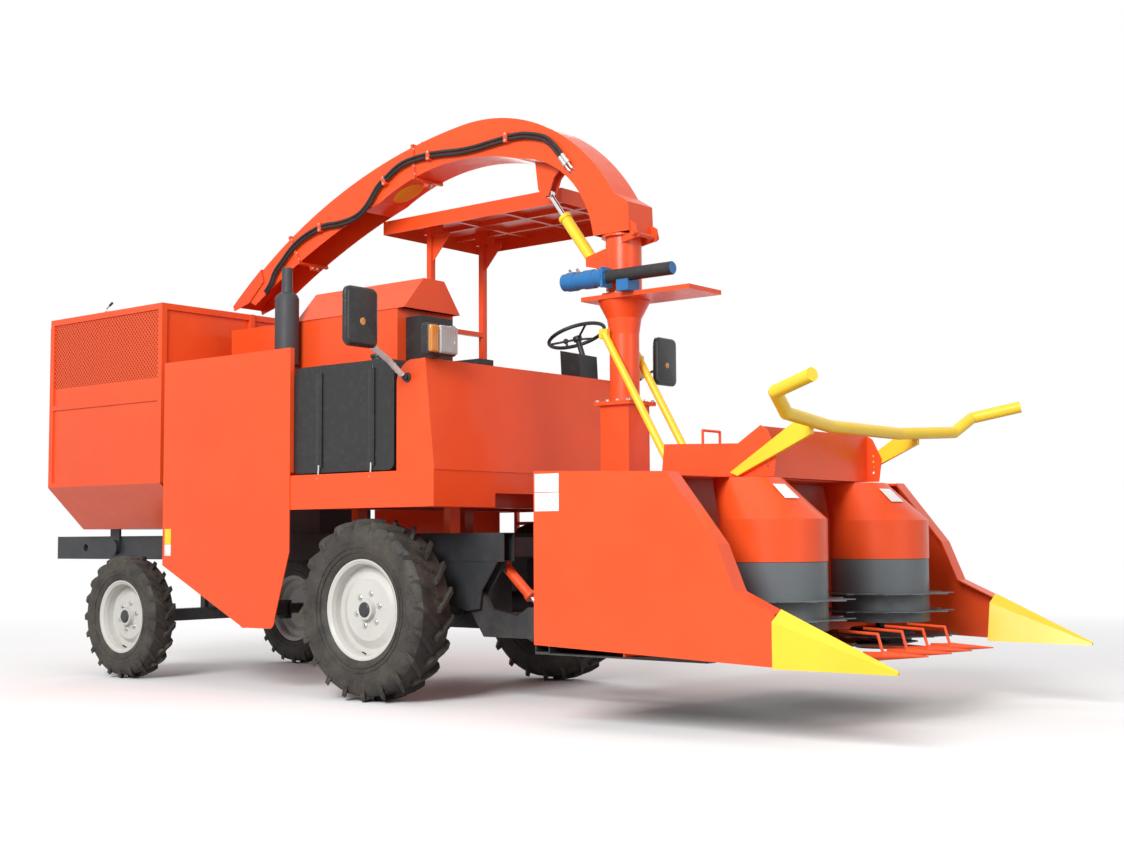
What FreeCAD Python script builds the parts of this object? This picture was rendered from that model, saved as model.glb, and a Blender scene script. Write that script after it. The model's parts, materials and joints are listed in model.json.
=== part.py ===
"""Self-propelled forage maize harvester with a two-drum header, as a parametric model.

The frame is +X forward, +Y to the left and +Z up, with the ground at Z = 0. Every piece is
drawn about the front axle (X = 0 at its centre) and is then moved forward by its Placement,
so that the origin lies under the middle of the whole machine. All sizes are millimetres.
"""
import FreeCAD, Part
import math
import os
import Sketcher

VALUES = {
    # running gear
    "axle_forward": 130,
    "wheelbase": 2694,
    "front_wheel_out": 890,
    "front_tyre_radius": 575,
    "front_tyre_wide": 300,
    "front_rim_radius": 318,
    "rear_wheel_out": 838,
    "rear_tyre_radius": 455,
    "rear_tyre_wide": 200,
    "rear_rim_radius": 268,
    "rim_wall": 6,
    "hub_radius": 62,
    "kingpin_out": 640,
    "kingpin_radius": 20,
    "axle_tube": 60,
    "tie_arm": 210,
    "run_gap": 1.5,
    # chassis
    "rail_rear": 4070,
    "rail_front": 820,
    "rail_out": 580,
    "rail_wide": 100,
    "rail_low": 875,
    "rail_tall": 180,
    "rail_wall": 6,
    "tow_bore": 30,
    "tow_bore_behind": 3670,
    # platform and station
    "deck_rear": 700,
    "deck_front": 660,
    "deck_half": 1035,
    "deck_low": 1215,
    "deck_top": 1440,
    "sheet": 4,
    "panel_top": 2125,
    "panel_lean": 75,
    "driver_side": 640,
    "wheel_forward": 430,
    "wheel_height": 2440,
    "wheel_ring": 215,
    "canopy_rear": 1010,
    "canopy_front": 700,
    "canopy_right": 150,
    "canopy_left": 1190,
    "canopy_top": 3370,
    "post_behind": 720,
    "post_right": 380,
    "post_left": 950,
    "post_side": 45,
    # engine bay
    "bay_rear": 2022,
    "bay_front": 655,
    "bay_top": 2290,
    "bay_low": 843,
    "bay_dip": 430,
    "side_sheet": 6,
    "hood_front": 200,
    "hood_top": 2575,
    "hood_peak": 2790,
    "hood_right": 500,
    "hood_left": 40,
    "tank_right": 1010,
    "tank_left": 760,
    "tank_rear": 650,
    "tank_front": 290,
    "tank_low": 1450,
    "tank_tall": 700,
    "pipe_behind": 1210,
    "pipe_right": 600,
    "pipe_low": 1560,
    "muffler_radius": 85,
    # load bin
    "bin_rear": 3512,
    "bin_front": 2077,
    "bin_half": 1030,
    "bin_top": 2740,
    "bin_fold": 1432,
    "bin_low": 1110,
    "bin_foot": 710,
    "bin_rail": 45,
    "bin_sheet": 3,
    "bin_mount_rear": 3255,
    "bin_mount_front": 2330,
    # header
    "lift_pivot_forward": 560,
    "lift_pivot_height": 640,
    "ram_pin_forward": 700,
    "ram_pin_height": 845,
    "ram_eye_forward": 1020,
    "ram_eye_height": 560,
    "ram_out": 430,
    "ram_drift": 3,
    "tilt_drift": 8,
    "head_half": 1319,
    "head_rear": 1690,
    "head_low": 440,
    "head_top": 1385,
    "head_sheet": 6,
    "drum_forward": 2770,
    "drum_out": 600,
    "drum_radius": 287,
    "drum_top": 885,
    "drum_low": 520,
    "rotor_radius": 430,
    "cutter_radius": 450,
    "cutter_height": 440,
    "tooth_count": 12,
    "cover_fold": 1112,
    "cover_top": 1338,
    "cover_neck": 190,
    "cover_back": 160,
    "cover_sheet": 5,
    "tip_forward": 3809,
    "housing_sheet": 8,
    "column_forward": 1330,
    "column_side": 220,
    "column_joint": 1860,
    "table_height": 2540,
    # spout
    "turret_radius": 115,
    "turret_low": 2560,
    "elbow_height": 2935,
    "elbow_half": 141,
    "spout_wide": 260,
    "spout_wall": 4,
    "tilt_pin_forward": 1500,
    "tilt_pin_height": 2915,
    "tilt_pin_radius": 14,
    "ram_radius": 38,
    "rod_radius": 17,
}


class Size:
    """A length that knows both its value and its spreadsheet formula."""

    def __init__(self, text, value):
        self.text = text
        self.value = float(value)

    @staticmethod
    def of(other):
        if isinstance(other, Size):
            return other
        return Size(repr(float(other)), other)

    def join(self, sign, other, value):
        return Size("(%s %s %s)" % (self.text, sign, Size.of(other).text), value)

    def __add__(self, other):
        return self.join("+", other, self.value + float(other))

    def __sub__(self, other):
        return self.join("-", other, self.value - float(other))

    def __mul__(self, other):
        return self.join("*", other, self.value * float(other))

    def __truediv__(self, other):
        return self.join("/", other, self.value / float(other))

    def __radd__(self, other):
        return Size.of(other) + self

    def __rsub__(self, other):
        return Size.of(other) - self

    def __rmul__(self, other):
        return Size.of(other) * self

    def __neg__(self):
        return Size("(-1 * %s)" % self.text, -self.value)

    def __float__(self):
        return self.value


class Sheet:
    """The spreadsheet of driving dimensions; each name reads as a Size."""

    def __init__(self, document, values):
        self.cells = document.addObject("Spreadsheet::Sheet", "sizes")
        self.values = values
        for row, (name, value) in enumerate(values.items(), start=1):
            self.cells.set("A%d" % row, name)
            self.cells.set("B%d" % row, str(value))
            self.cells.setAlias("B%d" % row, name)

    def __getattr__(self, name):
        return Size("sizes.%s" % name, self.values[name])


doc = FreeCAD.newDocument("harvester")
d = Sheet(doc, VALUES)
doc.recompute()
pieces = []
counter = {}


def fresh(stem):
    counter[stem] = counter.get(stem, 0) + 1
    return "%s_%d" % (stem, counter[stem])


def bind(thing, field, size):
    """Ties one property to its formula; a plain number is simply set."""
    if isinstance(size, Size):
        thing.setExpression(field, size.text)
        return
    owner = thing
    parts = field.split(".")
    if len(parts) == 1:
        setattr(owner, field, size)
    else:
        thing.setExpression(field, repr(float(size)))


def locate(thing, x, y, z):
    bind(thing, "Placement.Base.x", x)
    bind(thing, "Placement.Base.y", y)
    bind(thing, "Placement.Base.z", z)


def turned(thing, axis, degrees):
    base = thing.Placement.Base
    thing.Placement = FreeCAD.Placement(base, FreeCAD.Rotation(FreeCAD.Vector(*axis), degrees))


def piece(label, thing, ahead=0):
    """Registers a finished sub-part under its node name, ahead of the front axle."""
    thing.Label = label
    bind(thing, "Placement.Base.x", d.axle_forward + ahead)
    pieces.append(thing)
    return thing


def box(x0, x1, y0, y1, z0, z1):
    thing = doc.addObject("Part::Box", fresh("block"))
    bind(thing, "Length", Size.of(x1) - x0)
    bind(thing, "Width", Size.of(y1) - y0)
    bind(thing, "Height", Size.of(z1) - z0)
    locate(thing, Size.of(x0), Size.of(y0), Size.of(z0))
    return thing


AXES = {"X": (0, 1, 0, 90), "Y": (1, 0, 0, -90), "Z": (0, 0, 1, 0)}


def rod(axis, x, y, z, radius, length):
    """A round bar that starts at x, y, z and runs along +axis."""
    thing = doc.addObject("Part::Cylinder", fresh("bar"))
    bind(thing, "Radius", Size.of(radius))
    bind(thing, "Height", Size.of(length))
    spin = AXES[axis]
    turned(thing, spin[:3], spin[3])
    locate(thing, Size.of(x), Size.of(y), Size.of(z))
    return thing


def fuse(*things):
    thing = doc.addObject("Part::MultiFuse", fresh("joined"))
    thing.Shapes = list(things)
    thing.Refine = True
    return thing


def cut(base, *tools):
    for tool in tools:
        thing = doc.addObject("Part::Cut", fresh("cut"))
        thing.Base = base
        thing.Tool = tool
        thing.Refine = True
        base = thing
    return base


def group(*things):
    thing = doc.addObject("Part::Compound", fresh("pair"))
    thing.Links = list(things)
    return thing


def mirror(thing, normal=(0, 1, 0)):
    copy = doc.addObject("Part::Mirroring", fresh("mirrored"))
    copy.Source = thing
    copy.Normal = FreeCAD.Vector(*normal)
    return copy


def pair(thing):
    """The piece and its mirror image on the other side of the machine."""
    return group(thing, mirror(thing))


def body(stem):
    return doc.addObject("PartDesign::Body", fresh(stem))


def plane(owner, role):
    return [o for o in owner.Origin.OriginFeatures if o.Role == role][0]


def sketch(owner, role, offset=0.0):
    drawn = owner.newObject("Sketcher::SketchObject", fresh("sketch"))
    drawn.AttachmentSupport = (plane(owner, role), [""])
    drawn.MapMode = "FlatFace"
    if isinstance(offset, Size):
        drawn.setExpression("AttachmentOffset.Base.z", offset.text)
    elif offset:
        drawn.AttachmentOffset = FreeCAD.Placement(
            FreeCAD.Vector(0, 0, offset), FreeCAD.Rotation()
        )
    return drawn


def hold(drawn, kind, item, spot, name, size):
    """Holds one coordinate of a sketch point at a size."""
    size = Size.of(size)
    place = drawn.addConstraint(Sketcher.Constraint(kind, -1, 1, item, spot, size.value))
    drawn.renameConstraint(place, name)
    drawn.setExpression("Constraints.%s" % name, size.text)


def arc_centre(start, end, radius, leftward):
    """The centre of the arc of this radius from start to end, to the left or right."""
    across = end - start
    middle = (start + end) * 0.5
    rise = math.sqrt(max(radius * radius - across.Length ** 2 / 4, 0.0))
    normal = FreeCAD.Vector(-across.y, across.x, 0)
    normal.normalize()
    return middle + normal * (rise if leftward else -rise)


def outline(drawn, corners):
    """Draws a closed outline. A corner is (x, y), or (x, y, radius) where an arc of that
    radius runs on to the next corner: a positive radius turns left, a negative one right."""
    points = [FreeCAD.Vector(float(c[0]), float(c[1]), 0) for c in corners]
    first = drawn.GeometryCount
    total = len(corners)
    ends = []
    for index, corner in enumerate(corners):
        start = points[index]
        end = points[(index + 1) % total]
        if len(corner) == 2:
            drawn.addGeometry(Part.LineSegment(start, end), False)
            ends.append((1, 2))
            continue
        radius = abs(float(corner[2]))
        left = float(corner[2]) > 0
        centre = arc_centre(start, end, radius, left)
        ring = Part.Circle(centre, FreeCAD.Vector(0, 0, 1), radius)
        a = math.atan2(start.y - centre.y, start.x - centre.x)
        b = math.atan2(end.y - centre.y, end.x - centre.x)
        if not left:
            a, b = b, a
        if b < a:
            b += 2 * math.pi
        drawn.addGeometry(Part.ArcOfCircle(ring, a, b), False)
        ends.append((1, 2) if left else (2, 1))
    for index in range(total):
        item = first + index
        after = (index + 1) % total
        drawn.addConstraint(
            Sketcher.Constraint("Coincident", item, ends[index][1], first + after, ends[after][0])
        )
    for index, corner in enumerate(corners):
        item = first + index
        hold(drawn, "DistanceX", item, ends[index][0], "x%d" % item, corner[0])
        hold(drawn, "DistanceY", item, ends[index][0], "y%d" % item, corner[1])
        if len(corner) == 3:
            size = Size.of(corner[2])
            size = size if size.value > 0 else -size
            place = drawn.addConstraint(Sketcher.Constraint("Radius", item, size.value))
            drawn.renameConstraint(place, "r%d" % item)
            drawn.setExpression("Constraints.r%d" % item, size.text)


def circle(drawn, x, y, radius):
    item = drawn.GeometryCount
    at = FreeCAD.Vector(float(x), float(y), 0)
    drawn.addGeometry(Part.Circle(at, FreeCAD.Vector(0, 0, 1), float(radius)), False)
    hold(drawn, "DistanceX", item, 3, "x%d" % item, x)
    hold(drawn, "DistanceY", item, 3, "y%d" % item, y)
    size = Size.of(radius)
    place = drawn.addConstraint(Sketcher.Constraint("Radius", item, size.value))
    drawn.renameConstraint(place, "r%d" % item)
    drawn.setExpression("Constraints.r%d" % item, size.text)


def side_plate(corners, y0, y1, holes=()):
    """A plate cut to an X-Z outline, from y0 to y1."""
    owner = body("plate")
    drawn = sketch(owner, "XZ_Plane", -Size.of(y1))
    outline(drawn, corners)
    for hole in holes:
        circle(drawn, *hole)
    return padded(owner, drawn, Size.of(y1) - y0)


def cross_plate(corners, x0, x1, holes=()):
    """A plate cut to a Y-Z outline, from x0 to x1."""
    owner = body("wall")
    drawn = sketch(owner, "YZ_Plane", Size.of(x0))
    outline(drawn, corners)
    for hole in holes:
        circle(drawn, *hole)
    return padded(owner, drawn, Size.of(x1) - x0)


def flat_plate(corners, z0, z1, holes=()):
    """A plate cut to an X-Y outline, from z0 to z1."""
    owner = body("floor")
    drawn = sketch(owner, "XY_Plane", Size.of(z0))
    outline(drawn, corners)
    for hole in holes:
        circle(drawn, *hole)
    return padded(owner, drawn, Size.of(z1) - z0)


def padded(owner, drawn, length):
    made = owner.newObject("PartDesign::Pad", fresh("pad"))
    made.Profile = drawn
    bind(made, "Length", Size.of(length))
    return owner


def pocketed(owner, role, offset, corners, depth, reverse=False):
    """Cuts an outline out of the body, from its plane at offset to a depth."""
    drawn = sketch(owner, role, offset)
    outline(drawn, corners)
    made = owner.newObject("PartDesign::Pocket", fresh("pocket"))
    made.Profile = drawn
    made.Reversed = reverse
    bind(made, "Length", Size.of(depth))
    return owner


def turned_piece(corners, axis, x, y, z):
    """A revolved solid. Corners are (radius, along), about the axis through x, y, z."""
    owner = body("turned")
    role = {"Y": "XY_Plane", "Z": "XZ_Plane"}[axis]
    drawn = sketch(owner, role)
    outline(drawn, corners)
    made = owner.newObject("PartDesign::Revolution", fresh("turn"))
    made.Profile = drawn
    made.ReferenceAxis = (drawn, ["V_Axis"])
    made.Angle = 360
    locate(owner, x, y, z)
    return owner


def tube_between(start, end, radius, bore=None):
    """A straight round tube between two points given as sizes."""
    a = FreeCAD.Vector(*[float(c) for c in start])
    b = FreeCAD.Vector(*[float(c) for c in end])
    made = doc.addObject("Part::Feature", fresh("tube"))
    shape = Part.makeCylinder(float(radius), (b - a).Length, a, b - a)
    if bore is not None:
        shape = shape.cut(Part.makeCylinder(float(bore), (b - a).Length, a, b - a))
    made.Shape = shape
    return made


def bar_path(points, radius):
    """A round bar bent through points, with a ball at each bend."""
    made = doc.addObject("Part::Feature", fresh("bar"))
    at = [FreeCAD.Vector(*[float(c) for c in p]) for p in points]
    shape = None
    for a, b in zip(at, at[1:]):
        run = Part.makeCylinder(float(radius), (b - a).Length, a, b - a)
        shape = run if shape is None else shape.fuse(run)
    for bend in at[1:-1]:
        shape = shape.fuse(Part.makeSphere(float(radius), bend))
    made.Shape = shape.removeSplitter()
    return made


# --- wheels -------------------------------------------------------------------------------

def wheel(label, side, ahead, out, radius, wide, rim, dish):
    """A lugged tyre and its dished steel rim. side is 1 on the left and -1 on the right;
    dish is how far the wheel disc stands inboard of the tyre's outer face."""
    half = wide / 2
    crown = half * 0.55
    bead = half * 0.80
    tyre = [
        (rim + 1.3, -bead),
        (rim + 24, -half * 0.93),
        (rim * 0.45 + radius * 0.55, -half),
        (radius - wide * 0.16, -half * 0.98),
        (radius - wide * 0.03, -half * 0.80),
        (radius, -crown),
        (radius, crown),
        (radius - wide * 0.03, half * 0.80),
        (radius - wide * 0.16, half * 0.98),
        (rim * 0.45 + radius * 0.55, half),
        (rim + 24, half * 0.93),
        (rim + 1.3, bead),
    ]
    made = turned_piece(tyre, "Y", 0, out * side, radius)
    piece(label + "_tyre", made, ahead)
    outer = bead - 2
    face = outer - dish
    hoop = [
        (rim + 1, -outer),
        (rim + 1, -outer + d.rim_wall),
        (rim - 20, -outer + 16),
        (rim - 30, -outer + 40),
        (rim - 30, outer - 40),
        (rim - 20, outer - 16),
        (rim + 1, outer - d.rim_wall),
        (rim + 1, outer),
        (rim - 8, outer),
        (rim - 28, outer - 12),
        (rim - 30 - d.rim_wall, outer - 40),
        (rim - 30 - d.rim_wall, -outer + 40),
        (rim - 28, -outer + 12),
        (rim - 8, -outer),
    ]
    disc = [
        (d.hub_radius - 20, face - 10),
        (rim * 0.60, face - 10),
        (rim - 72, face - 34),
        (rim - 34, face - 34),
        (rim - 34, face - 26),
        (rim - 70, face - 26),
        (rim * 0.62, face),
        (d.hub_radius + 8, face),
        (d.hub_radius + 2, face + 34),
        (d.hub_radius - 20, face + 34),
    ]
    hoop = [(c[0], c[1] * side) for c in hoop]
    disc = [(c[0], c[1] * side) for c in disc]
    made = fuse(turned_piece(hoop, "Y", 0, 0, 0), turned_piece(disc, "Y", 0, 0, 0))
    locate(made, 0, out * side, radius)
    piece(label + "_rim", made, ahead)


for name, side in (("right", -1), ("left", 1)):
    wheel("front_%s" % name, side, 0, d.front_wheel_out, d.front_tyre_radius,
          d.front_tyre_wide, d.front_rim_radius, 60)
    wheel("rear_%s" % name, side, -d.wheelbase, d.rear_wheel_out, d.rear_tyre_radius,
          d.rear_tyre_wide, d.rear_rim_radius, 70)

# --- chassis ------------------------------------------------------------------------------

rail_in = d.rail_out - d.rail_wide
rail_top = d.rail_low + d.rail_tall
front_hub = d.front_tyre_radius
rear_hub = d.rear_tyre_radius


def rail():
    """One hollow box rail, open at both ends, with the tow bore through both walls."""
    outer = box(-d.rail_rear, d.rail_front, rail_in, d.rail_out, d.rail_low, rail_top)
    inner = box(-d.rail_rear - 5, d.rail_front + 5, rail_in + d.rail_wall,
                d.rail_out - d.rail_wall, d.rail_low + d.rail_wall, rail_top - d.rail_wall)
    sleeve = rod("Y", -d.tow_bore_behind, rail_in, d.rail_low + d.rail_tall / 2,
                 d.tow_bore + 9, d.rail_wide)
    bore = rod("Y", -d.tow_bore_behind, rail_in - 5, d.rail_low + d.rail_tall / 2,
               d.tow_bore, d.rail_wide + 10)
    return cut(fuse(cut(outer, inner), sleeve), bore)


def cross_member(behind, deep=80):
    """A hollow box section between the rails."""
    wall = d.rail_wall
    return cut(
        box(-behind, -behind + deep, -rail_in, rail_in, d.rail_low + 30, rail_top - 30),
        box(-behind + wall, -behind + deep - wall, -rail_in + 2, rail_in - 2,
            d.rail_low + 30 + wall, rail_top - 30 - wall),
    )


right_rail = mirror(rail())
left_rail = rail()
members = [cross_member(Size.of(b)) for b in (3950, 2990, 2380, 640)]
members.append(cross_member(-Size.of(330)))
members.append(cross_member(-d.rail_front + 90))

hinge_x = d.lift_pivot_forward
hinge_z = d.lift_pivot_height


def header_bracket():
    """A hanging cheek pair under the rail's nose, which carries the header's hinge pin."""
    corners = [
        (hinge_x - 320, d.rail_low + 2),
        (hinge_x - 250, hinge_z - 30),
        (hinge_x - 60, hinge_z - 75),
        (hinge_x + 50, hinge_z - 60),
        (hinge_x + 70, hinge_z + 60),
        (hinge_x + 200, d.rail_low + 2),
    ]
    inner = side_plate(corners, rail_in + 4, rail_in + 18)
    outer = side_plate(corners, d.rail_out - 18, d.rail_out - 4)
    pin = rod("Y", hinge_x, rail_in + 2, hinge_z, 22, d.rail_wide - 4)
    web = box(hinge_x - 290, hinge_x - 130, rail_in + 10, d.rail_out - 10,
              hinge_z + 110, d.rail_low + 2)
    return fuse(inner, outer, pin, web)


brackets = header_bracket()
ram_pin = fuse(
    rod("Y", d.ram_pin_forward, d.ram_out - 40, d.ram_pin_height, 15, rail_in - d.ram_out + 42),
    side_plate([
        (d.ram_pin_forward - 40, d.ram_pin_height - 35),
        (d.ram_pin_forward + 40, d.ram_pin_height - 35),
        (d.ram_pin_forward + 60, d.rail_low + 30),
        (d.ram_pin_forward - 60, d.rail_low + 30),
    ], rail_in - 6, rail_in + 2),
)
axle_stool = box(-95, 95, rail_in + 5, d.rail_out - 5, front_hub + 40, d.rail_low + 2)
rear_yoke = fuse(
    box(-d.wheelbase - 130, -d.wheelbase - 75, -90, 90, rear_hub + 10, d.rail_low + 60),
    box(-d.wheelbase + 75, -d.wheelbase + 130, -90, 90, rear_hub + 10, d.rail_low + 60),
    rod("X", -d.wheelbase - 120, 0, rear_hub + 60, 30, 240),
    box(-d.wheelbase - 130, -d.wheelbase + 130, -rail_in, rail_in, d.rail_low + 30,
        rail_top - 30),
)


def bin_mount(behind):
    """A pedestal on the rail that the load bin is bolted down on, with its round boss."""
    x = -Size.of(behind)
    foot = side_plate([
        (x - 60, d.rail_low + 60),
        (x + 60, d.rail_low + 60),
        (x + 60, d.bin_low - 0.3),
        (x - 60, d.bin_low - 0.3),
    ], d.rail_out - 4, d.rail_out + 14)
    boss = rod("Y", x, d.rail_out + 10, rail_middle, 60, 30)
    return fuse(foot, boss)


rail_middle = d.rail_low + d.rail_tall / 2
frame_parts = [left_rail, right_rail] + members
frame_parts += [brackets, mirror(header_bracket()), axle_stool, mirror(axle_stool), rear_yoke]
for behind in (d.bin_mount_rear, d.bin_mount_front):
    frame_parts += [bin_mount(behind), mirror(bin_mount(behind))]
frame_parts += [ram_pin, mirror(ram_pin)]
piece("chassis_frame", fuse(*frame_parts))

hub_end = d.front_wheel_out + 84
axle_shape = fuse(
    rod("Y", 0, -700, front_hub, d.axle_tube + 14, 1400),
    rod("Y", 0, -760, front_hub, 105, 1520),
    rod("Y", 0, -hub_end, front_hub, d.hub_radius - 20.06, hub_end * 2),
    box(-130, 210, -150, 190, front_hub - 150, front_hub + 230),
)
slim = cut(axle_shape, fuse(
    cut(box(-120, 120, -690, -155, front_hub - 130, front_hub + 130),
        rod("Y", 0, -695, front_hub, d.axle_tube + 14, 545)),
    cut(box(-120, 120, 195, 690, front_hub - 130, front_hub + 130),
        rod("Y", 0, 190, front_hub, d.axle_tube + 14, 510)),
))
piece("front_axle_housing", cut(slim, box(-100, 100, rail_in - 5, d.rail_out + 5,
                                          front_hub + 39.7, front_hub + 140),
                                box(-100, 100, -d.rail_out - 5, -rail_in + 5,
                                    front_hub + 39.7, front_hub + 140)))

# --- rear steering axle -------------------------------------------------------------------

cheek_low = rear_hub - 80
cheek_high = rear_hub + 50


def axle_end():
    """The eye at one end of the rear axle, bored for the kingpin."""
    boss = rod("Z", -d.wheelbase, d.kingpin_out, rear_hub - 55, 44, 100)
    return boss


rear_beam = fuse(
    box(-d.wheelbase - 55, -d.wheelbase + 55, -d.kingpin_out + 30, d.kingpin_out - 30,
        rear_hub - 50, rear_hub + 40),
    axle_end(),
    mirror(axle_end()),
    box(-d.wheelbase - 60, -d.wheelbase + 60, -70, 70, rear_hub - 20, rear_hub + 115),
)
piece("rear_axle_beam", cut(
    rear_beam,
    rod("X", -d.wheelbase - 130, 0, rear_hub + 60, 30.06, 260),
    rod("Z", -d.wheelbase, d.kingpin_out, rear_hub - 70, d.kingpin_radius + 0.06, 140),
    rod("Z", -d.wheelbase, -d.kingpin_out, rear_hub - 70, d.kingpin_radius + 0.06, 140),
))


def knuckle(side):
    """A steering knuckle: two cheeks, the kingpin, the spindle and the track-rod arm."""
    x = -d.wheelbase
    y = d.kingpin_out * side
    stub = d.rear_wheel_out + 36
    low = rod("Z", x, y, rear_hub - 80, 46, 24.5)
    high = rod("Z", x, y, rear_hub + 45.5, 46, 24.5)
    pin = rod("Z", x, y, rear_hub - 80, d.kingpin_radius, 150)
    if side > 0:
        web = box(x - 40, x + 40, y + 45.5, y + 62, rear_hub - 80, rear_hub + 70)
        tabs = [box(x - 40, x + 40, y, y + 50, rear_hub - 80, rear_hub - 55.5),
                box(x - 40, x + 40, y, y + 50, rear_hub + 45.5, rear_hub + 70)]
        spindle = rod("Y", x, y + 50, rear_hub, d.hub_radius - 20.06, stub - d.kingpin_out - 50)
    else:
        web = box(x - 40, x + 40, y - 62, y - 45.5, rear_hub - 80, rear_hub + 70)
        tabs = [box(x - 40, x + 40, y - 50, y, rear_hub - 80, rear_hub - 55.5),
                box(x - 40, x + 40, y - 50, y, rear_hub + 45.5, rear_hub + 70)]
        spindle = rod("Y", x, -stub, rear_hub, d.hub_radius - 20.06, stub - d.kingpin_out - 50)
    arm = box(x - d.tie_arm - 22, x, y - 20, y + 20, rear_hub - 80, rear_hub - 62)
    stud = rod("Z", x - d.tie_arm, y, rear_hub - 70, 10, 45)
    return fuse(low, high, pin, web, spindle, arm, stud, *tabs)


piece("knuckle_right", knuckle(-1))
piece("knuckle_left", knuckle(1))


def rod_eye(side):
    y = d.kingpin_out * side
    return rod("Z", -d.wheelbase - d.tie_arm, y, rear_hub - 61.7, 20, 22)


track_rod = fuse(
    rod("Y", -d.wheelbase - d.tie_arm, -d.kingpin_out + 15, rear_hub - 50.7, 10,
        d.kingpin_out * 2 - 30),
    rod_eye(-1),
    rod_eye(1),
)
piece("tie_rod", cut(
    track_rod,
    rod("Z", -d.wheelbase - d.tie_arm, d.kingpin_out, rear_hub - 90, 10 + 0.08, 80),
    rod("Z", -d.wheelbase - d.tie_arm, -d.kingpin_out, rear_hub - 90, 10 + 0.08, 80),
))

# --- platform and driver's station --------------------------------------------------------

deck = flat_plate([
    (-d.deck_rear, -d.deck_half), (d.deck_front - d.sheet, -d.deck_half),
    (d.deck_front - d.sheet, d.deck_half), (-d.deck_rear, d.deck_half),
], d.deck_top - 5, d.deck_top)
skirt = box(-d.deck_rear, d.deck_front - d.sheet, -d.deck_half, -d.deck_half + 5, d.deck_low,
            d.deck_top)
nose = box(d.deck_front - 40, d.deck_front - d.sheet, -d.deck_half, -d.deck_half * 0.46,
           d.deck_low, d.deck_top)
nose_mid = box(d.deck_front - 40, d.deck_front - d.sheet, -d.deck_half * 0.47,
               d.deck_half * 0.47, d.deck_low + 90, d.deck_top)
bearers = [cut(
    box(b, Size.of(b) + 60, -d.deck_half + 4, d.deck_half - 4, d.deck_low + 5, d.deck_top - 4),
    box(Size.of(b) + 5, Size.of(b) + 61, -d.deck_half, d.deck_half, d.deck_low + 10,
        d.deck_top - 10),
) for b in (-560, 300)]
for along in (-560, 300):
    for way in (-1, 1):
        y = (rail_in + d.rail_wide / 2) * way
        bearers.append(box(along, Size.of(along) + 60, y - 45, y + 45, rail_top + 0.3,
                           d.deck_low + 10))
ladder_out = d.front_wheel_out + d.front_tyre_wide / 2 + 12
ladder_sides = [box(x, Size.of(x) + 30, ladder_out, ladder_out + 30, 520, d.deck_top - 6)
                for x in (-520, -150)]
ladder_treads = [box(-520, -120, ladder_out, ladder_out + 120, z, Size.of(z) + 25)
                 for z in (540, 830, 1120)]
ladder_treads += [box(x, Size.of(x) + 30, d.deck_half + 0.3, ladder_out + 2, d.deck_low + 60,
                      d.deck_top - 6) for x in (-520, -150)]
piece("platform", fuse(deck, skirt, mirror(skirt), nose, mirror(nose), nose_mid, *bearers))
piece("access_ladder", fuse(*ladder_sides, *ladder_treads))

front_sheet = side_plate([
    (d.deck_front - 4, d.deck_top + 0.3),
    (d.deck_front, d.deck_top + 0.3),
    (d.deck_front - d.panel_lean, d.panel_top),
    (d.deck_front - d.panel_lean - 32, d.panel_top),
    (d.deck_front - d.panel_lean - 32, d.panel_top - 4),
    (d.deck_front - d.panel_lean - 4, d.panel_top - 4),
], -d.deck_half, d.deck_half)
cheek = side_plate([
    (d.deck_front - 322, d.deck_top + 0.3),
    (d.deck_front - 2, d.deck_top + 0.3),
    (d.deck_front - d.panel_lean - 2, d.panel_top - 2),
    (d.deck_front - d.panel_lean - 130, d.panel_top - 2, 160),
    (d.deck_front - 322, d.panel_top - 130),
], -d.deck_half, -d.deck_half + 5)
piece("front_panel", fuse(front_sheet, cheek, mirror(cheek)))


def driver_seat():
    """A plain cushion, backrest and pedestal."""
    y = d.driver_side
    pedestal = box(-260, 60, y - 130, y + 130, d.deck_top + 0.3, d.deck_top + 300)
    cushion = box(-310, 120, y - 230, y + 230, d.deck_top + 300, d.deck_top + 400)
    backrest = box(-400, -305, y - 220, y + 220, d.deck_top + 330, d.deck_top + 690)
    return fuse(pedestal, cushion, backrest)


piece("driver_seat", driver_seat())

column_foot = d.wheel_forward + 80
console = side_plate([
    (column_foot - 100, d.deck_top + 0.3),
    (column_foot + 70, d.deck_top + 0.3),
    (column_foot + 20, d.wheel_height - 150),
    (column_foot - 150, d.wheel_height - 110),
], d.driver_side - 100, d.driver_side + 100)
wheel_axis = FreeCAD.Vector(-math.sin(math.radians(20)), 0, math.cos(math.radians(20)))
wheel_at = FreeCAD.Vector(d.wheel_forward.value, d.driver_side.value, d.wheel_height.value)
console_cut = doc.addObject("Part::Feature", "console_top")
console_cut.Shape = Part.makeCylinder(19.06, 140, wheel_at - wheel_axis * 170, wheel_axis)
piece("steering_console", cut(console, console_cut))

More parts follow.
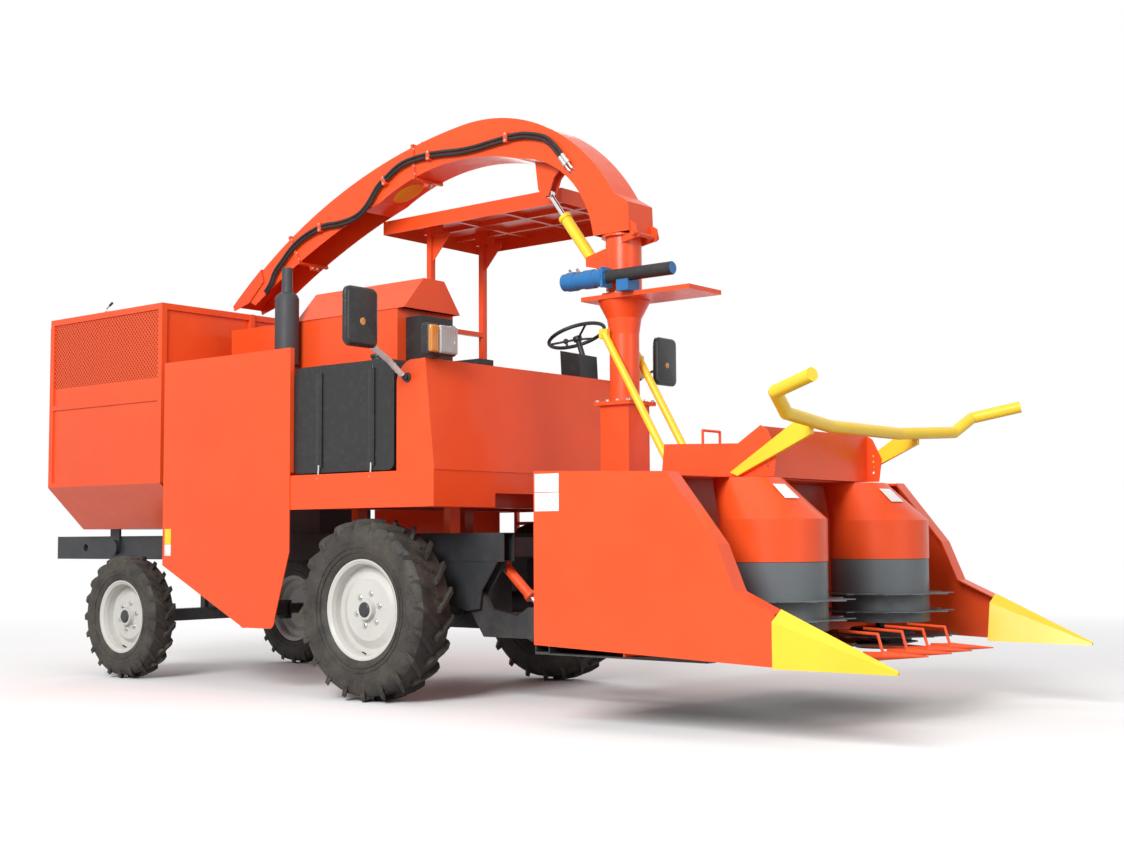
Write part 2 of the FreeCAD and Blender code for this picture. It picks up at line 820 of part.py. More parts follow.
ring = doc.addObject("Part::Feature", "ring")
hoop = Part.makeTorus(d.wheel_ring.value - 13, 13, wheel_at, wheel_axis)
hub = Part.makeCylinder(32, 30, wheel_at - wheel_axis * 40, wheel_axis)
stem = Part.makeCylinder(19, 150, wheel_at - wheel_axis * 168, wheel_axis)
spokes = []
for turn in (90, 210, 330):
    spin = FreeCAD.Rotation(wheel_axis, turn)
    ahead = FreeCAD.Vector(wheel_axis.z, 0, -wheel_axis.x)
    reach = spin.multVec(ahead)
    foot = wheel_at - wheel_axis * 25 + reach * 20
    rim_point = wheel_at + reach * (d.wheel_ring.value - 16)
    spokes.append(Part.makeCylinder(8, (rim_point - foot).Length, foot, rim_point - foot))
knob_at = wheel_at + FreeCAD.Rotation(wheel_axis, 150).multVec(ahead) * (d.wheel_ring.value - 13)
knob = Part.makeCylinder(9, 40, knob_at, wheel_axis).fuse(
    Part.makeSphere(20, knob_at + wheel_axis * 48)
)
ring.Shape = hoop.fuse([hub, stem, knob] + spokes)
piece("steering_wheel", ring)

post_z = d.canopy_top - 100


def canopy_post(y):
    return box(-d.post_behind - d.post_side, -d.post_behind, y - d.post_side / 2,
               y + d.post_side / 2, d.deck_top + 0.3, post_z - 0.3)


def gusset(y):
    x = -d.post_behind
    return side_plate([
        (x, post_z - 0.3), (x, post_z - 200, ), (x + 170, post_z - 20), (x + 170, post_z - 0.3),
    ], y - 3, y + 3)


bay_posts = fuse(
    canopy_post(d.post_right),
    canopy_post(d.post_left),
    gusset(d.post_right),
    gusset(d.post_left),
    box(-d.post_behind - 40, -d.post_behind - 5, d.post_right, d.post_left, 2560, 2595),
    box(-d.post_behind - 40, -d.deck_rear + 60, d.post_right - 60, d.post_right + 60,
        d.deck_top + 0.3, d.deck_top + 12),
    box(-d.post_behind - 40, -d.deck_rear + 60, d.post_left - 60, d.post_left + 60,
        d.deck_top + 0.3, d.deck_top + 12),
)
piece("canopy_posts", bay_posts)

roof = cut(
    box(-d.canopy_rear, d.canopy_front, d.canopy_right, d.canopy_left, post_z, d.canopy_top),
    box(-d.canopy_rear + d.sheet, d.canopy_front - d.sheet, d.canopy_right + d.sheet,
        d.canopy_left - d.sheet, post_z - 1, d.canopy_top - d.sheet),
)
ribs = [box(-d.canopy_rear + 2, d.canopy_front - 2, y - 15, y + 15, d.canopy_top - 34,
            d.canopy_top - 3) for y in (d.post_right, d.driver_side, d.post_left)]
ribs += [box(x, Size.of(x) + 30, d.canopy_right + 2, d.canopy_left - 2, d.canopy_top - 34,
             d.canopy_top - 3) for x in (-500, -50, 400)]
landing = [box(-d.post_behind - 60, -d.post_behind + 60, y - 45, y + 45, post_z,
               d.canopy_top - 3) for y in (d.post_right, d.post_left)]
piece("canopy_roof", fuse(roof, *ribs, *landing))


def lamp():
    """A headlamp housing with its corner lamp, on a short stalk."""
    x = d.deck_front - d.panel_lean
    y = -d.deck_half
    shell = box(x + 10, x + 110, y - 60, y + 190, d.panel_top + 12, d.panel_top + 205)
    stalk = box(x - 24, x + 40, y + 40, y + 90, d.panel_top + 0.3, d.panel_top + 14)
    return fuse(shell, stalk)


piece("headlamps", pair(lamp()))


def rear_view_mirror():
    x = d.deck_front - d.panel_lean - 16
    y = -d.deck_half + 12
    foot = rod("Z", x, y, d.panel_top + 0.3, 12, 28)
    arm = bar_path([(x, y, d.panel_top + 20), (x - 20, y - 150, d.panel_top + 50),
                    (x - 35, y - 385, d.panel_top + 130)], 9)
    head = box(x - 60, x - 10, y - 667, y - 367, d.panel_top + 15, d.panel_top + 375)
    return fuse(foot, arm, head)


piece("mirrors", pair(rear_view_mirror()))

# --- engine bay ---------------------------------------------------------------------------

engine_left = d.hood_left - 20
engine_right = -rail_in + 10
engine_feet = [box(x, Size.of(x) + 60, -rail_in + 0.3, rail_in - 0.3, rail_top - 95, rail_top - 45)
               for x in (-1650, -1150)]
piece("engine_block", fuse(
    box(-1750, -1000, engine_right, engine_left, rail_top - 120, rail_top + 560), *engine_feet))

bay_side = side_plate([
    (-d.bay_rear, d.bay_low),
    (-1150, d.bay_dip + 12, 60),
    (-1090, d.bay_dip),
    (-850, d.bay_dip, 55),
    (-800, d.bay_dip + 60),
    (-d.bay_front, d.bay_top * 0.41),
    (-d.bay_front, d.bay_top),
    (-d.bay_rear, d.bay_top),
], -d.deck_half - 0.3 - d.side_sheet, -d.deck_half - 0.3)
flange = box(-d.bay_front - 5, -d.bay_front, -d.deck_half - 6.3, -d.deck_half + 28,
             d.deck_top + 20, d.bay_top)
side_half = fuse(bay_side, flange)
piece("side_panels", pair(side_half))

hood_walls = cut(
    box(-1950, -d.hood_front, -d.hood_right, d.hood_left, d.deck_top + 0.4, d.hood_top),
    box(-1946, -d.hood_front - d.sheet, -d.hood_right + d.sheet, d.hood_left - d.sheet,
        d.deck_top - 5, d.hood_top - d.sheet),
    rod("Y", -d.pipe_behind, -d.hood_right - 20, d.pipe_low, 46, 60),
)


def cowl(skin, end):
    """The hood's raised roof with sloping sides, skin smaller all round."""
    return cross_plate([
        (-d.hood_right - 8 + skin, d.hood_top - 4),
        (d.hood_left - skin, d.hood_top - 4),
        (d.hood_left - 160 - skin / 2, d.hood_peak - skin),
        (-d.hood_right + 180 + skin / 2, d.hood_peak - skin),
    ], -1220 + end, -d.hood_front + 70 - end)


hood_roof = cut(cowl(Size.of(0), Size.of(0)), cowl(d.sheet, d.sheet))
piece("engine_hood", fuse(hood_walls, hood_roof))

tank_shape = body("tank")
tank_sketch = sketch(tank_shape, "XZ_Plane", d.tank_left)
outline(tank_sketch, [
    (-d.tank_rear, d.tank_low + 50, 50),
    (-d.tank_rear + 50, d.tank_low),
    (d.tank_front - 50, d.tank_low, 50),
    (d.tank_front, d.tank_low + 50),
    (d.tank_front, d.tank_low + d.tank_tall - 70, 70),
    (d.tank_front - 70, d.tank_low + d.tank_tall),
    (-d.tank_rear + 70, d.tank_low + d.tank_tall, 70),
    (-d.tank_rear, d.tank_low + d.tank_tall - 70),
])
padded(tank_shape, tank_sketch, d.tank_right - d.tank_left)
tank_feet = [box(x, Size.of(x) + 60, -d.tank_right + 30, -d.tank_left - 30, d.deck_top + 0.3,
                 d.tank_low + 20) for x in (-500, 130)]
piece("fuel_tank", fuse(tank_shape, *tank_feet))

muffler = turned_piece([
    (0, 0), (45, 0), (45, 60), (d.muffler_radius, 90), (d.muffler_radius, 560),
    (d.muffler_radius - 10, 585), (42, 605), (38, 640), (38, 780), (32, 780), (32, 610), (0, 600),
], "Z", -d.pipe_behind, -d.pipe_right, 2165)
down_pipe = bar_path([
    (-d.pipe_behind, -d.pipe_right, 2180),
    (-d.pipe_behind, -d.pipe_right, d.pipe_low),
    (-d.pipe_behind, engine_right - 0.3, d.pipe_low),
], 38)
piece("exhaust_pipe", fuse(muffler, down_pipe))

cleaner = fuse(
    box(-d.hood_front + 0.4, -d.hood_front + 150, -420, -120, d.deck_top + 760, d.hood_top - 60),
    box(-d.hood_front + 0.4, -d.hood_front + 560, -300, -160, d.deck_top + 700,
        d.deck_top + 762),
)
piece("air_cleaner", cleaner)

# --- load bin -----------------------------------------------------------------------------

bin_x0 = -d.bin_rear
bin_x1 = -d.bin_front
rail_t = d.bin_rail


def bin_side():
    """One side of the bin: the framed wall and the lower slope that folds inward."""
    y0 = -d.bin_half
    slope = cross_plate([
        (y0, d.bin_fold),
        (-d.bin_foot, d.bin_low),
        (-d.bin_foot + 4, d.bin_low + 4),
        (y0 + 4, d.bin_fold + 3),
    ], bin_x0 + 6, bin_x1 - 4)
    upper = box(bin_x0 + 6, bin_x1 - 4, y0 + 12, y0 + 15, d.bin_fold, d.bin_top - 4)
    rails = [
        box(bin_x0 + 4, bin_x1, y0, y0 + rail_t, d.bin_top - rail_t, d.bin_top),
        box(bin_x0 + 4, bin_x1, y0, y0 + 30, d.bin_fold, d.bin_fold + 34),
        box(bin_x0 + 4, bin_x1, y0, y0 + 30, 2030, 2066),
        box(bin_x0 + 4, bin_x0 + 4 + rail_t, y0, y0 + rail_t, d.bin_fold, d.bin_top),
        box(bin_x1 - rail_t, bin_x1, y0, y0 + rail_t, d.bin_fold, d.bin_top),
    ]
    return fuse(slope, upper, *rails)


front_wall = cross_plate([
    (-d.bin_half, d.bin_fold), (-d.bin_foot, d.bin_low), (d.bin_foot, d.bin_low),
    (d.bin_half, d.bin_fold), (d.bin_half, d.bin_top), (-d.bin_half, d.bin_top),
], bin_x1 - 20, bin_x1 - 16)
gate_hinge_x = bin_x0 - 14
gate_hinge_z = d.bin_top - 40
rear_top = box(bin_x0 + 4, bin_x0 + 4 + rail_t, -d.bin_half, d.bin_half, d.bin_top - 34,
               d.bin_top)


def gate_hinge(y):
    """Two lugs and a pin under the bin's rear top rail."""
    lugs = [box(bin_x0 - 26, bin_x0 + 6, Size.of(y) + k, Size.of(y) + k + 8, d.bin_top - 54,
                d.bin_top - 8) for k in (-30, 22)]
    pin = rod("Y", gate_hinge_x, Size.of(y) - 29, gate_hinge_z, 8, 58)
    return fuse(pin, *lugs)


def gate_eye(y):
    """The gate's strap with its eye round the hinge pin."""
    strap = box(bin_x0 - 18, bin_x0, Size.of(y) - 18, Size.of(y) + 18, d.bin_top - 130,
                d.bin_top - 44)
    eye = rod("Y", gate_hinge_x, Size.of(y) - 18, gate_hinge_z, 13.3, 36)
    return cut(fuse(strap, eye), rod("Y", gate_hinge_x, Size.of(y) - 20, gate_hinge_z, 8.08, 40))


front_top = box(bin_x1 - rail_t, bin_x1, -d.bin_half, d.bin_half, d.bin_top - rail_t, d.bin_top)
stiffeners = [box(bin_x1 - 17, bin_x1 + 15, y - 20, y + 20, d.bin_low + 10, d.bin_top)
              for y in (-210, 210)]
floor = box(bin_x0 + 6, bin_x1 - 16, -d.bin_foot, d.bin_foot, d.bin_low, d.bin_low + 4)
bin_shell = fuse(bin_side(), mirror(bin_side()), front_wall, front_top, rear_top, floor,
                 gate_hinge(-720), gate_hinge(720), *stiffeners)
piece("load_bin", bin_shell)
gate = cross_plate([
    (-d.bin_half, d.bin_fold), (-d.bin_foot, d.bin_low + 2), (d.bin_foot, d.bin_low + 2),
    (d.bin_half, d.bin_fold), (d.bin_half, d.bin_top - 60), (-d.bin_half, d.bin_top - 60),
], bin_x0 - 0.3, bin_x0 + 3.7)
gate_ribs = [box(bin_x0 - 30, bin_x0, Size.of(y) - 20, Size.of(y) + 20, d.bin_low + 30,
                 d.bin_top - 140) for y in (-210, 210)]
piece("tailgate", fuse(gate, gate_eye(-720), gate_eye(720), *gate_ribs))

# --- header -------------------------------------------------------------------------------

head_in = d.head_half - d.head_sheet
plate_nose = 3208


def header_side():
    """The big side plate with the sheet folded inward along its sloping front edge."""
    plate = side_plate([
        (d.head_rear, d.head_low),
        (plate_nose - 16, d.head_low - 50),
        (plate_nose, d.head_low + 210),
        (2985, 750),
        (2884, 984),
        (2579, d.head_top - 28),
        (d.head_rear, d.head_top),
    ], -d.head_half, -head_in)
    lip = side_plate([
        (plate_nose, d.head_low + 210),
        (2985, 750),
        (2884, 984),
        (2579, d.head_top - 28),
        (2572, d.head_top - 36),
        (2876, 980),
        (2980, 744),
        (plate_nose - 2, d.head_low + 203),
    ], -d.head_half, -d.head_half + 110)
    return fuse(plate, lip)


piece("header_side_plates", pair(header_side()))


def divider(base_x, tip_x, base, tip):
    """A crop divider's form: a five-sided pyramid that tapers to the tip."""
    owner = body("divider")
    spans = []
    for x, corners in ((base_x, base), (tip_x, tip)):
        drawn = sketch(owner, "YZ_Plane", Size.of(x))
        outline(drawn, corners)
        spans.append(drawn)
    made = owner.newObject("PartDesign::AdditiveLoft", fresh("loft"))
    made.Profile = spans[0]
    made.Sections = [spans[1]]
    made.Ruled = True
    return owner


divider_shell = cut(
    divider(
        plate_nose + 0.4, d.tip_forward,
        [(-1345, 385), (-1120, 385), (-1165, 615), (-1255, 668), (-1345, 610)],
        [(-1232, 376), (-1208, 376), (-1212, 388), (-1222, 396), (-1232, 388)],
    ),
    divider(
        plate_nose - 1, plate_nose + 520,
        [(-1339, 390), (-1128, 390), (-1170, 609), (-1255, 661), (-1339, 604)],
        [(-1246, 382), (-1216, 382), (-1220, 396), (-1226, 402), (-1246, 400)],
    ),
)
piece("divider_cones", pair(divider_shell))

rotor_low = d.cutter_height - 40
deck_z = d.cover_top + 0.3
pan = flat_plate([
    (d.head_rear + 4, -head_in + 0.3), (2300, -head_in + 0.3), (2560, -1010), (2930, -760),
    (2960, -500), (2760, -180), (2760, 180), (2960, 500), (2930, 760), (2560, 1010),
    (2300, head_in - 0.3), (d.head_rear + 4, head_in - 0.3),
], rotor_low - 10, rotor_low - 2)
rear_tube = cut(
    box(d.head_rear + 4, d.head_rear + 104, -head_in + 0.3, head_in - 0.3, rotor_low - 2,
        rotor_low + 120),
    box(d.head_rear + 10, d.head_rear + 98, -head_in, head_in, rotor_low + 4, rotor_low + 114),
)
shafts = [rod("Z", d.drum_forward, d.drum_out * w, rotor_low - 4, 30, d.cover_fold - rotor_low - 14)
          for w in (-1, 1)]
gearboxes = [rod("Z", d.drum_forward, d.drum_out * w, rotor_low - 40, 150, 45) for w in (-1, 1)]
skids = [box(1900, 2700, 1100 * w - 40, 1100 * w + 40, rotor_low - 26, rotor_low - 8)
         for w in (-1, 1)]


def lift_arm():
    """The push arm from the hinge pin to the header's rear tube, with the ram's pin."""
    y0 = rail_in + 32
    y1 = d.rail_out - 32
    plate = side_plate([
        (hinge_x - 52, hinge_z),
        (hinge_x - 40, hinge_z - 90, ),
        (hinge_x + 60, hinge_z - 235),
        (d.head_rear + 8, hinge_z - 235),
        (d.head_rear + 8, hinge_z - 120),
        (d.ram_eye_forward + 90, hinge_z - 120),
        (d.ram_eye_forward + 35, d.ram_eye_height + 36),
        (d.ram_eye_forward - 35, d.ram_eye_height + 36),
        (d.ram_eye_forward - 120, hinge_z - 100),
        (hinge_x + 120, hinge_z - 60),
        (hinge_x + 50, hinge_z + 38),
        (hinge_x - 20, hinge_z + 50),
    ], y0, y1, [(hinge_x, hinge_z, Size.of(22.06))])
    pin = rod("Y", d.ram_eye_forward, d.ram_out - 30, d.ram_eye_height, 12,
              y0 - d.ram_out + 32)
    return fuse(plate, pin)


arms = [lift_arm(), mirror(lift_arm())]
tie = box(1560, 1620, -rail_in - 40, rail_in + 40, hinge_z - 262, hinge_z - 204)
piece("header_frame", fuse(pan, rear_tube, tie, *shafts, *gearboxes, *skids, *arms))

wall_x = 2292
back = cross_plate([
    (-head_in + 0.3, rotor_low + 0.3),
    (-250, rotor_low + 0.3),
    (-250, 980),
    (250, 980),
    (250, rotor_low + 0.3),
    (head_in - 0.3, rotor_low + 0.3),
    (head_in - 0.3, deck_z - 0.3),
    (-head_in + 0.3, deck_z - 0.3),
], wall_x, wall_x + 6)
deck_sheet = flat_plate([
    (d.head_rear + 6, -head_in + 0.3), (2555, -head_in + 0.3), (2562, -1200), (2620, -820),
    (2620, 820), (2562, 1200), (2555, head_in - 0.3), (d.head_rear + 6, head_in - 0.3),
], deck_z, deck_z + 6)
rear_sheet = box(d.head_rear + 6, d.head_rear + 12, -head_in + 0.3, head_in - 0.3,
                 rotor_low + 120, deck_z)
side_rear = cut(rear_sheet, box(d.head_rear, d.head_rear + 20, -430, 430, rotor_low, deck_z - 60))
piece("header_back_wall", fuse(back, deck_sheet, side_rear))


def drum_form(way, skin, foot):
    """The cover's form, skin smaller all round: a cylinder, then an offset cone that leans back
    to the deck."""
    owner = body("cover")
    spans = []
    for z, x, radius in (
        (d.drum_top + foot, d.drum_forward, d.drum_radius + 3 - skin),
        (d.cover_fold, d.drum_forward, d.drum_radius + 3 - skin),
        (d.cover_top - skin, d.drum_forward - d.cover_back, d.cover_neck - skin),
    ):
        drawn = sketch(owner, "XY_Plane", z)
        circle(drawn, x, d.drum_out * way, radius)
        spans.append(drawn)
    made = owner.newObject("PartDesign::AdditiveLoft", fresh("loft"))
    made.Profile = spans[0]
    made.Sections = spans[1:]
    made.Ruled = True
    return owner


covers = []
for way in (-1, 1):
    floor = rod("Z", d.drum_forward, d.drum_out * way, d.drum_top + 2, d.drum_radius - 1, 8)
    bore = rod("Z", d.drum_forward, d.drum_out * way, d.drum_top - 10, 31.5, 60)
    shell = cut(drum_form(way, 0, 2), drum_form(way, d.cover_sheet, -4))
    covers.append(cut(fuse(shell, floor), bore))
piece("drum_covers", group(*covers))


def toothed_disc(x, y, z, tip, root, thick, bore, teeth):
    """A flat disc with hooked teeth round its rim, bored for its shaft."""
    owner = body("disc")
    drawn = sketch(owner, "XY_Plane", Size.of(z))
    circle(drawn, 0, 0, root)
    circle(drawn, 0, 0, bore)
    base = owner.newObject("PartDesign::Pad", fresh("pad"))
    base.Profile = drawn
    bind(base, "Length", Size.of(thick))
    tooth = sketch(owner, "XY_Plane", Size.of(z))
    outline(tooth, [
        (root - 12, -34),
        (root + 6, -34),
        (tip, 10),
        (tip - 10, 20),
        (root - 12, 34),
    ])
    spur = owner.newObject("PartDesign::Pad", fresh("pad"))
    spur.Profile = tooth
    bind(spur, "Length", Size.of(thick))
    doc.recompute()
    turn = owner.newObject("PartDesign::PolarPattern", fresh("teeth"))
    turn.Originals = [spur]
    turn.Axis = (drawn, ["N_Axis"])
    turn.Angle = 360
    turn.Occurrences = teeth
    owner.Tip = turn
    locate(owner, x, y, 0)
    return owner


for name, way in (("right", -1), ("left", 1)):
    y = d.drum_out * way
    skin = d.drum_radius - 6
    barrel = turned_piece([
        (30.08, d.drum_low), (60, d.drum_low), (60, d.drum_top - 14), (skin, d.drum_top - 14),
        (skin, d.drum_low), (d.drum_radius, d.drum_low), (d.drum_radius, d.drum_top),
        (30.08, d.drum_top),
    ], "Z", d.drum_forward, y, 0)
    discs = [toothed_disc(d.drum_forward, y, z, d.rotor_radius, d.rotor_radius - 60, 6,
                          d.drum_radius - 30, 12) for z in (580, 682)]
    made = fuse(barrel, *discs)
    piece("gathering_drum_%s" % name, made)
    blade = toothed_disc(d.drum_forward, y, d.cutter_height, d.cutter_radius,
                         d.cutter_radius - 45, 5, Size.of(30.08), 16)
    collar = turned_piece([(30.08, d.cutter_height + 4), (200, d.cutter_height + 4),
                           (170, d.cutter_height + 40), (30.08, d.cutter_height + 40)],
                          "Z", d.drum_forward, y, 0)
    piece("cutter_disc_%s" % name, fuse(blade, collar))

fingers = []
for y in (-400, -125, 125, 400):
    shank = tube_between((3190, y, 392), (3330, y, 396), 20)
    point = doc.addObject("Part::Feature", fresh("point"))
    point.Shape = Part.makeCone(24, 3, 250, FreeCAD.Vector(3310, y, 396), FreeCAD.Vector(1, 0, 0.02))
    guard = bar_path([(3300, y + 8, 402), (3270, y + 8, 505), (3040, y + 10, 515)], 8)
    fingers += [shank, point, guard]
sill_z = rotor_low - 29
sill = bar_path([(2930, -560, sill_z), (3150, -470, sill_z), (3200, -300, sill_z),
                 (3200, 300, sill_z), (3150, 470, sill_z), (2930, 560, sill_z)], 17)
stays = [box(2700, 3215, y - 20, y + 20, rotor_low - 26, rotor_low - 10.3) for y in (-400, 400)]
piece("crop_fingers", fuse(sill, *fingers, *stays))

push_bar = bar_path([
    (3400, -1250, 1800), (3130, -1150, 1740), (3090, -980, 1645), (3015, -400, 1612),
    (3015, 400, 1612), (3090, 980, 1645), (3130, 1150, 1740), (3400, 1250, 1800),
], 35)


def push_arm():
    """A channel arm that clamps to its bracket and carries the pusher bar."""
    arm = side_plate([
        (2520, 1372), (2566, 1352), (3030, 1560), (3030, 1610), (2960, 1650),
    ], -631.7, -601.3)
    return arm


piece("pusher_bar", fuse(push_bar, push_arm(), mirror(push_arm())))


def push_bracket():
    """The upright bracket plate with its row of adjusting holes."""
    holes = [(2745, 1400 + 34 * k, Size.of(8)) for k in range(4)]
    return side_plate([
        (2410, deck_z + 6.3), (2780, deck_z + 6.3), (2800, 1480), (2740, 1600), (2700, 1625),
        (2410, 1440),
    ], -601, -593, holes)


guard_sheet = box(2700, 2705, -598, 598, deck_z + 20, 1620)
shelf = box(2600, 2706, -598, 598, deck_z + 6.3, deck_z + 22)
piece("pusher_brackets", fuse(push_bracket(), mirror(push_bracket()), guard_sheet, shelf))

# --- chopper, blower and discharge column -------------------------------------------------

def throat(skin):
    """The blower's scroll, the throat and the feed box, skin smaller all round."""
    scroll = side_plate([
        (1090 + skin, 440 + skin),
        (1560, 440 + skin, 260 - skin),
        (1678 - skin, 640),
        (1678 - skin, 1180),
        (1450 - skin / 2, 1400 - skin),
        (1210 + skin / 2, 1400 - skin),
        (1060 + skin, 1150),
        (1020 + skin, 900),
        (1020 + skin, 560),
    ], -300 + skin, 300 - skin)
    neck = box(1600, d.head_rear + 120, -300 + skin, 300 - skin, 520 + skin, 1240 - skin)
    feed = box(d.head_rear + 110 + skin, wall_x - 0.4 + skin, -420 + skin, 420 - skin,
               rotor_low + 0.4 + skin, deck_z - 62 - skin)
    return fuse(scroll, neck, feed)


half = d.column_side / 2
col_x = d.column_forward
outlet = box(col_x - half + 6, col_x + half - 6, -half + 6, half - 6, 1380, 1410)
inlet = box(wall_x - 30, wall_x + 5, -250, 250, rotor_low + 66, 980)
piece("chopper_housing", cut(throat(Size.of(0)), throat(d.housing_sheet), outlet, inlet))

lid = cut(
    side_plate([
        (1905, deck_z + 6.3), (2440, deck_z + 6.3), (2440, 1545), (1930, 1562),
    ], -420, 420),
    side_plate([
        (1910, deck_z + 1), (2435, deck_z + 1), (2435, 1540), (1935, 1557),
    ], -415, 415),
)
handle = bar_path([(2120, -300, 1555), (2120, -300, 1640), (2120, -120, 1640),
                   (2120, -120, 1555)], 8)
piece("roller_cover", fuse(lid, handle))

lower = box(col_x - half, col_x + half, -half, half, 1400.3, d.column_joint)
joint = box(col_x - half - 30, col_x + half + 30, -half - 30, half + 30, d.column_joint - 12,
            d.column_joint + 12)
upper = rod("Z", col_x, 0, d.column_joint, half * 0.86, 2540 - d.column_joint)
yoke = turned_piece([
    (0, 2300), (half * 0.86, 2300), (half * 1.0, 2400), (half * 1.5, 2505), (half * 1.5, 2520),
    (0, 2520),
], "Z", col_x, 0, 0)
table = box(col_x - 210, col_x + 620, -175, 175, 2512, d.table_height)
duct_hole = box(col_x - half + 6, col_x + half - 6, -half + 6, half - 6, 1390, d.column_joint + 1)
bore_hole = rod("Z", col_x, 0, d.column_joint - 20, half * 0.86 - 5, 720)
column = cut(fuse(lower, joint, upper, yoke, table), duct_hole, bore_hole)
piece("discharge_column", column)

stays = []
for way in (-1, 1):
    y = 126 * way
    stays.append(tube_between((1268, y, 2300), (1770, y, 1440), 24))
    lug = side_plate([(1740, deck_z + 6.3), (1860, deck_z + 6.3), (1830, 1455), (1770, 1475)],
                     y - 12, y + 12)
    ear = box(1235, 1300, y - 14, y + 14, 2270, 2330)
    stays += [lug, ear]
piece("column_braces", group(fuse(*stays[:3]), fuse(*stays[3:])))

motor = fuse(
    rod("X", 1020, -212, 2640, 55, 330),
    box(1340, 1360, -262, -162, 2575, 2700),
    rod("X", 1360, -212, 2640, 36, 500),
    box(1450, 1540, -240, -120, d.table_height + 0.3, 2615),
)
piece("slew_drive", motor)

# --- header lift rams ---------------------------------------------------------------------

ram_start = (d.ram_pin_forward, d.ram_pin_height)
ram_end = (d.ram_eye_forward, d.ram_eye_height)


def ram(label_barrel, label_rod, y_list, start, end, radius, bar, pin, eye, drift, head_wide,
        eye_wide):
    """A hydraulic ram: the barrel turns on its pin and the rod slides inside it."""
    barrels = []
    rods = []
    a0 = FreeCAD.Vector(float(start[0]), 0, float(start[1]))
    b0 = FreeCAD.Vector(float(end[0]), 0, float(end[1]))
    way = (b0 - a0).normalize()
    span = math.hypot(float(end[0]) - float(start[0]), float(end[1]) - float(start[1]))
    for y in y_list:
        lift = FreeCAD.Vector(0, y, 0)
        a = a0 + lift
        b = a0 + way * span + lift
        tube = Part.makeCylinder(radius, span * 0.62, a + way * (pin + 8), way)
        head = Part.makeCylinder(pin + 14, head_wide, a - FreeCAD.Vector(0, head_wide / 2, 0),
                                 FreeCAD.Vector(0, 1, 0))
        gland = Part.makeCylinder(radius + 7, 26, a + way * (pin + 8 + span * 0.62 - 26), way)
        barrel = tube.fuse([head, gland])
        barrel = barrel.cut(Part.makeCylinder(bar + 0.06, span, a + way * (pin + 26), way))
        barrel = barrel.cut(Part.makeCylinder(pin + 0.06, head_wide + 10,
                                              a - FreeCAD.Vector(0, head_wide / 2 + 5, 0),
                                              FreeCAD.Vector(0, 1, 0)))
        barrels.append(barrel)
        inside = pin + 30
        shaft = Part.makeCylinder(bar, span - inside - eye - drift, a + way * inside, way)
        ring = Part.makeCylinder(eye + drift + 12, eye_wide, b - FreeCAD.Vector(0, eye_wide / 2, 0),
                                 FreeCAD.Vector(0, 1, 0))
        shaft = shaft.fuse(ring)
        shaft = shaft.cut(Part.makeCylinder(eye + drift, eye_wide + 10,
                                            b - FreeCAD.Vector(0, eye_wide / 2 + 5, 0),
                                            FreeCAD.Vector(0, 1, 0)))
        rods.append(shaft)
    for label, shapes in ((label_barrel, barrels), (label_rod, rods)):
        made = doc.addObject("Part::Feature", fresh("ram"))
        made.Shape = shapes[0] if len(shapes) == 1 else Part.makeCompound(shapes)
        piece(label, made)


ram("lift_barrels", "lift_rods", [-d.ram_out.value, d.ram_out.value], ram_start, ram_end,
    32, 16, 15, 12, d.ram_drift.value, 56, 44)

# --- spout --------------------------------------------------------------------------------

turret_top = d.elbow_height - 5
tilt_x = d.tilt_pin_forward
tilt_z = d.tilt_pin_height
turret_tube = turned_piece([
    (d.turret_radius - 8, d.table_height + 0.5),
    (d.turret_radius + 30, d.table_height + 0.5),
    (d.turret_radius + 30, d.table_height + 16),
    (d.turret_radius, d.table_height + 18),
    (d.turret_radius, turret_top - 14),
    (d.turret_radius + 26, turret_top - 12),
    (d.turret_radius + 26, turret_top),
    (d.turret_radius - 8, turret_top),
], "Z", col_x, 0, 0)
ram_foot_x = 1095
ram_foot_z = 2790
horns = []
for way in (-1, 1):
    y = 53 * way
    horns.append(side_plate([
        (ram_foot_x - 26, ram_foot_z - 30), (col_x - 95, ram_foot_z - 70),
        (col_x - 95, ram_foot_z + 70), (ram_foot_x - 26, ram_foot_z + 30),
    ], y - 5, y + 5))
foot_pin = rod("Y", ram_foot_x, -57, ram_foot_z, d.tilt_pin_radius, 114)
hinge_ears = []
for way in (-1, 1):
    y = 95 * way
    hinge_ears.append(side_plate([
        (col_x + 60, turret_top - 60), (tilt_x + 22, tilt_z - 22), (tilt_x + 22, tilt_z + 22),
        (tilt_x - 22, tilt_z + 15), (col_x + 60, turret_top - 14),
    ], y - 7, y + 7))
tilt_pin = rod("Y", tilt_x, -132, tilt_z, d.tilt_pin_radius, 264)
clear_bore = rod("Z", col_x, 0, d.table_height, d.turret_radius - 8, 420)
piece("spout_turret", fuse(cut(fuse(turret_tube, *horns, *hinge_ears), clear_bore), foot_pin,
                           tilt_pin))

E = d.elbow_half
outer_arc = [
    (col_x - E, d.elbow_height, ),
    (col_x + E, d.elbow_height),
    (col_x + E - 8, 3120),
    (1352, 3190, 1366),
    (30, 3852, 4470),
    (-2300, 2905),
    (-2132, 2828, -6024),
    (-745, 3436, -1757),
    (560, 3535, -690),
    (1172, 3010),
]
arch = side_plate(outer_arc, -d.spout_wide / 2, d.spout_wide / 2)
inner = d.spout_wall
hollow = [
    (col_x - E + 8, d.elbow_height - 5),
    (col_x + E - 8, d.elbow_height - 5),
    (col_x + E - 16, 3116),
    (1344, 3183, 1362),
    (30, 3848, 4466),
    (-2310, 2892),
    (-2120, 2800, -6028),
    (-745, 3440, -1761),
    (562, 3539, -694),
    (1178, 3010),
]
owner = arch
pocketed(owner, "XZ_Plane", d.spout_wide / 2 - inner, hollow, d.spout_wide - inner * 2, False)
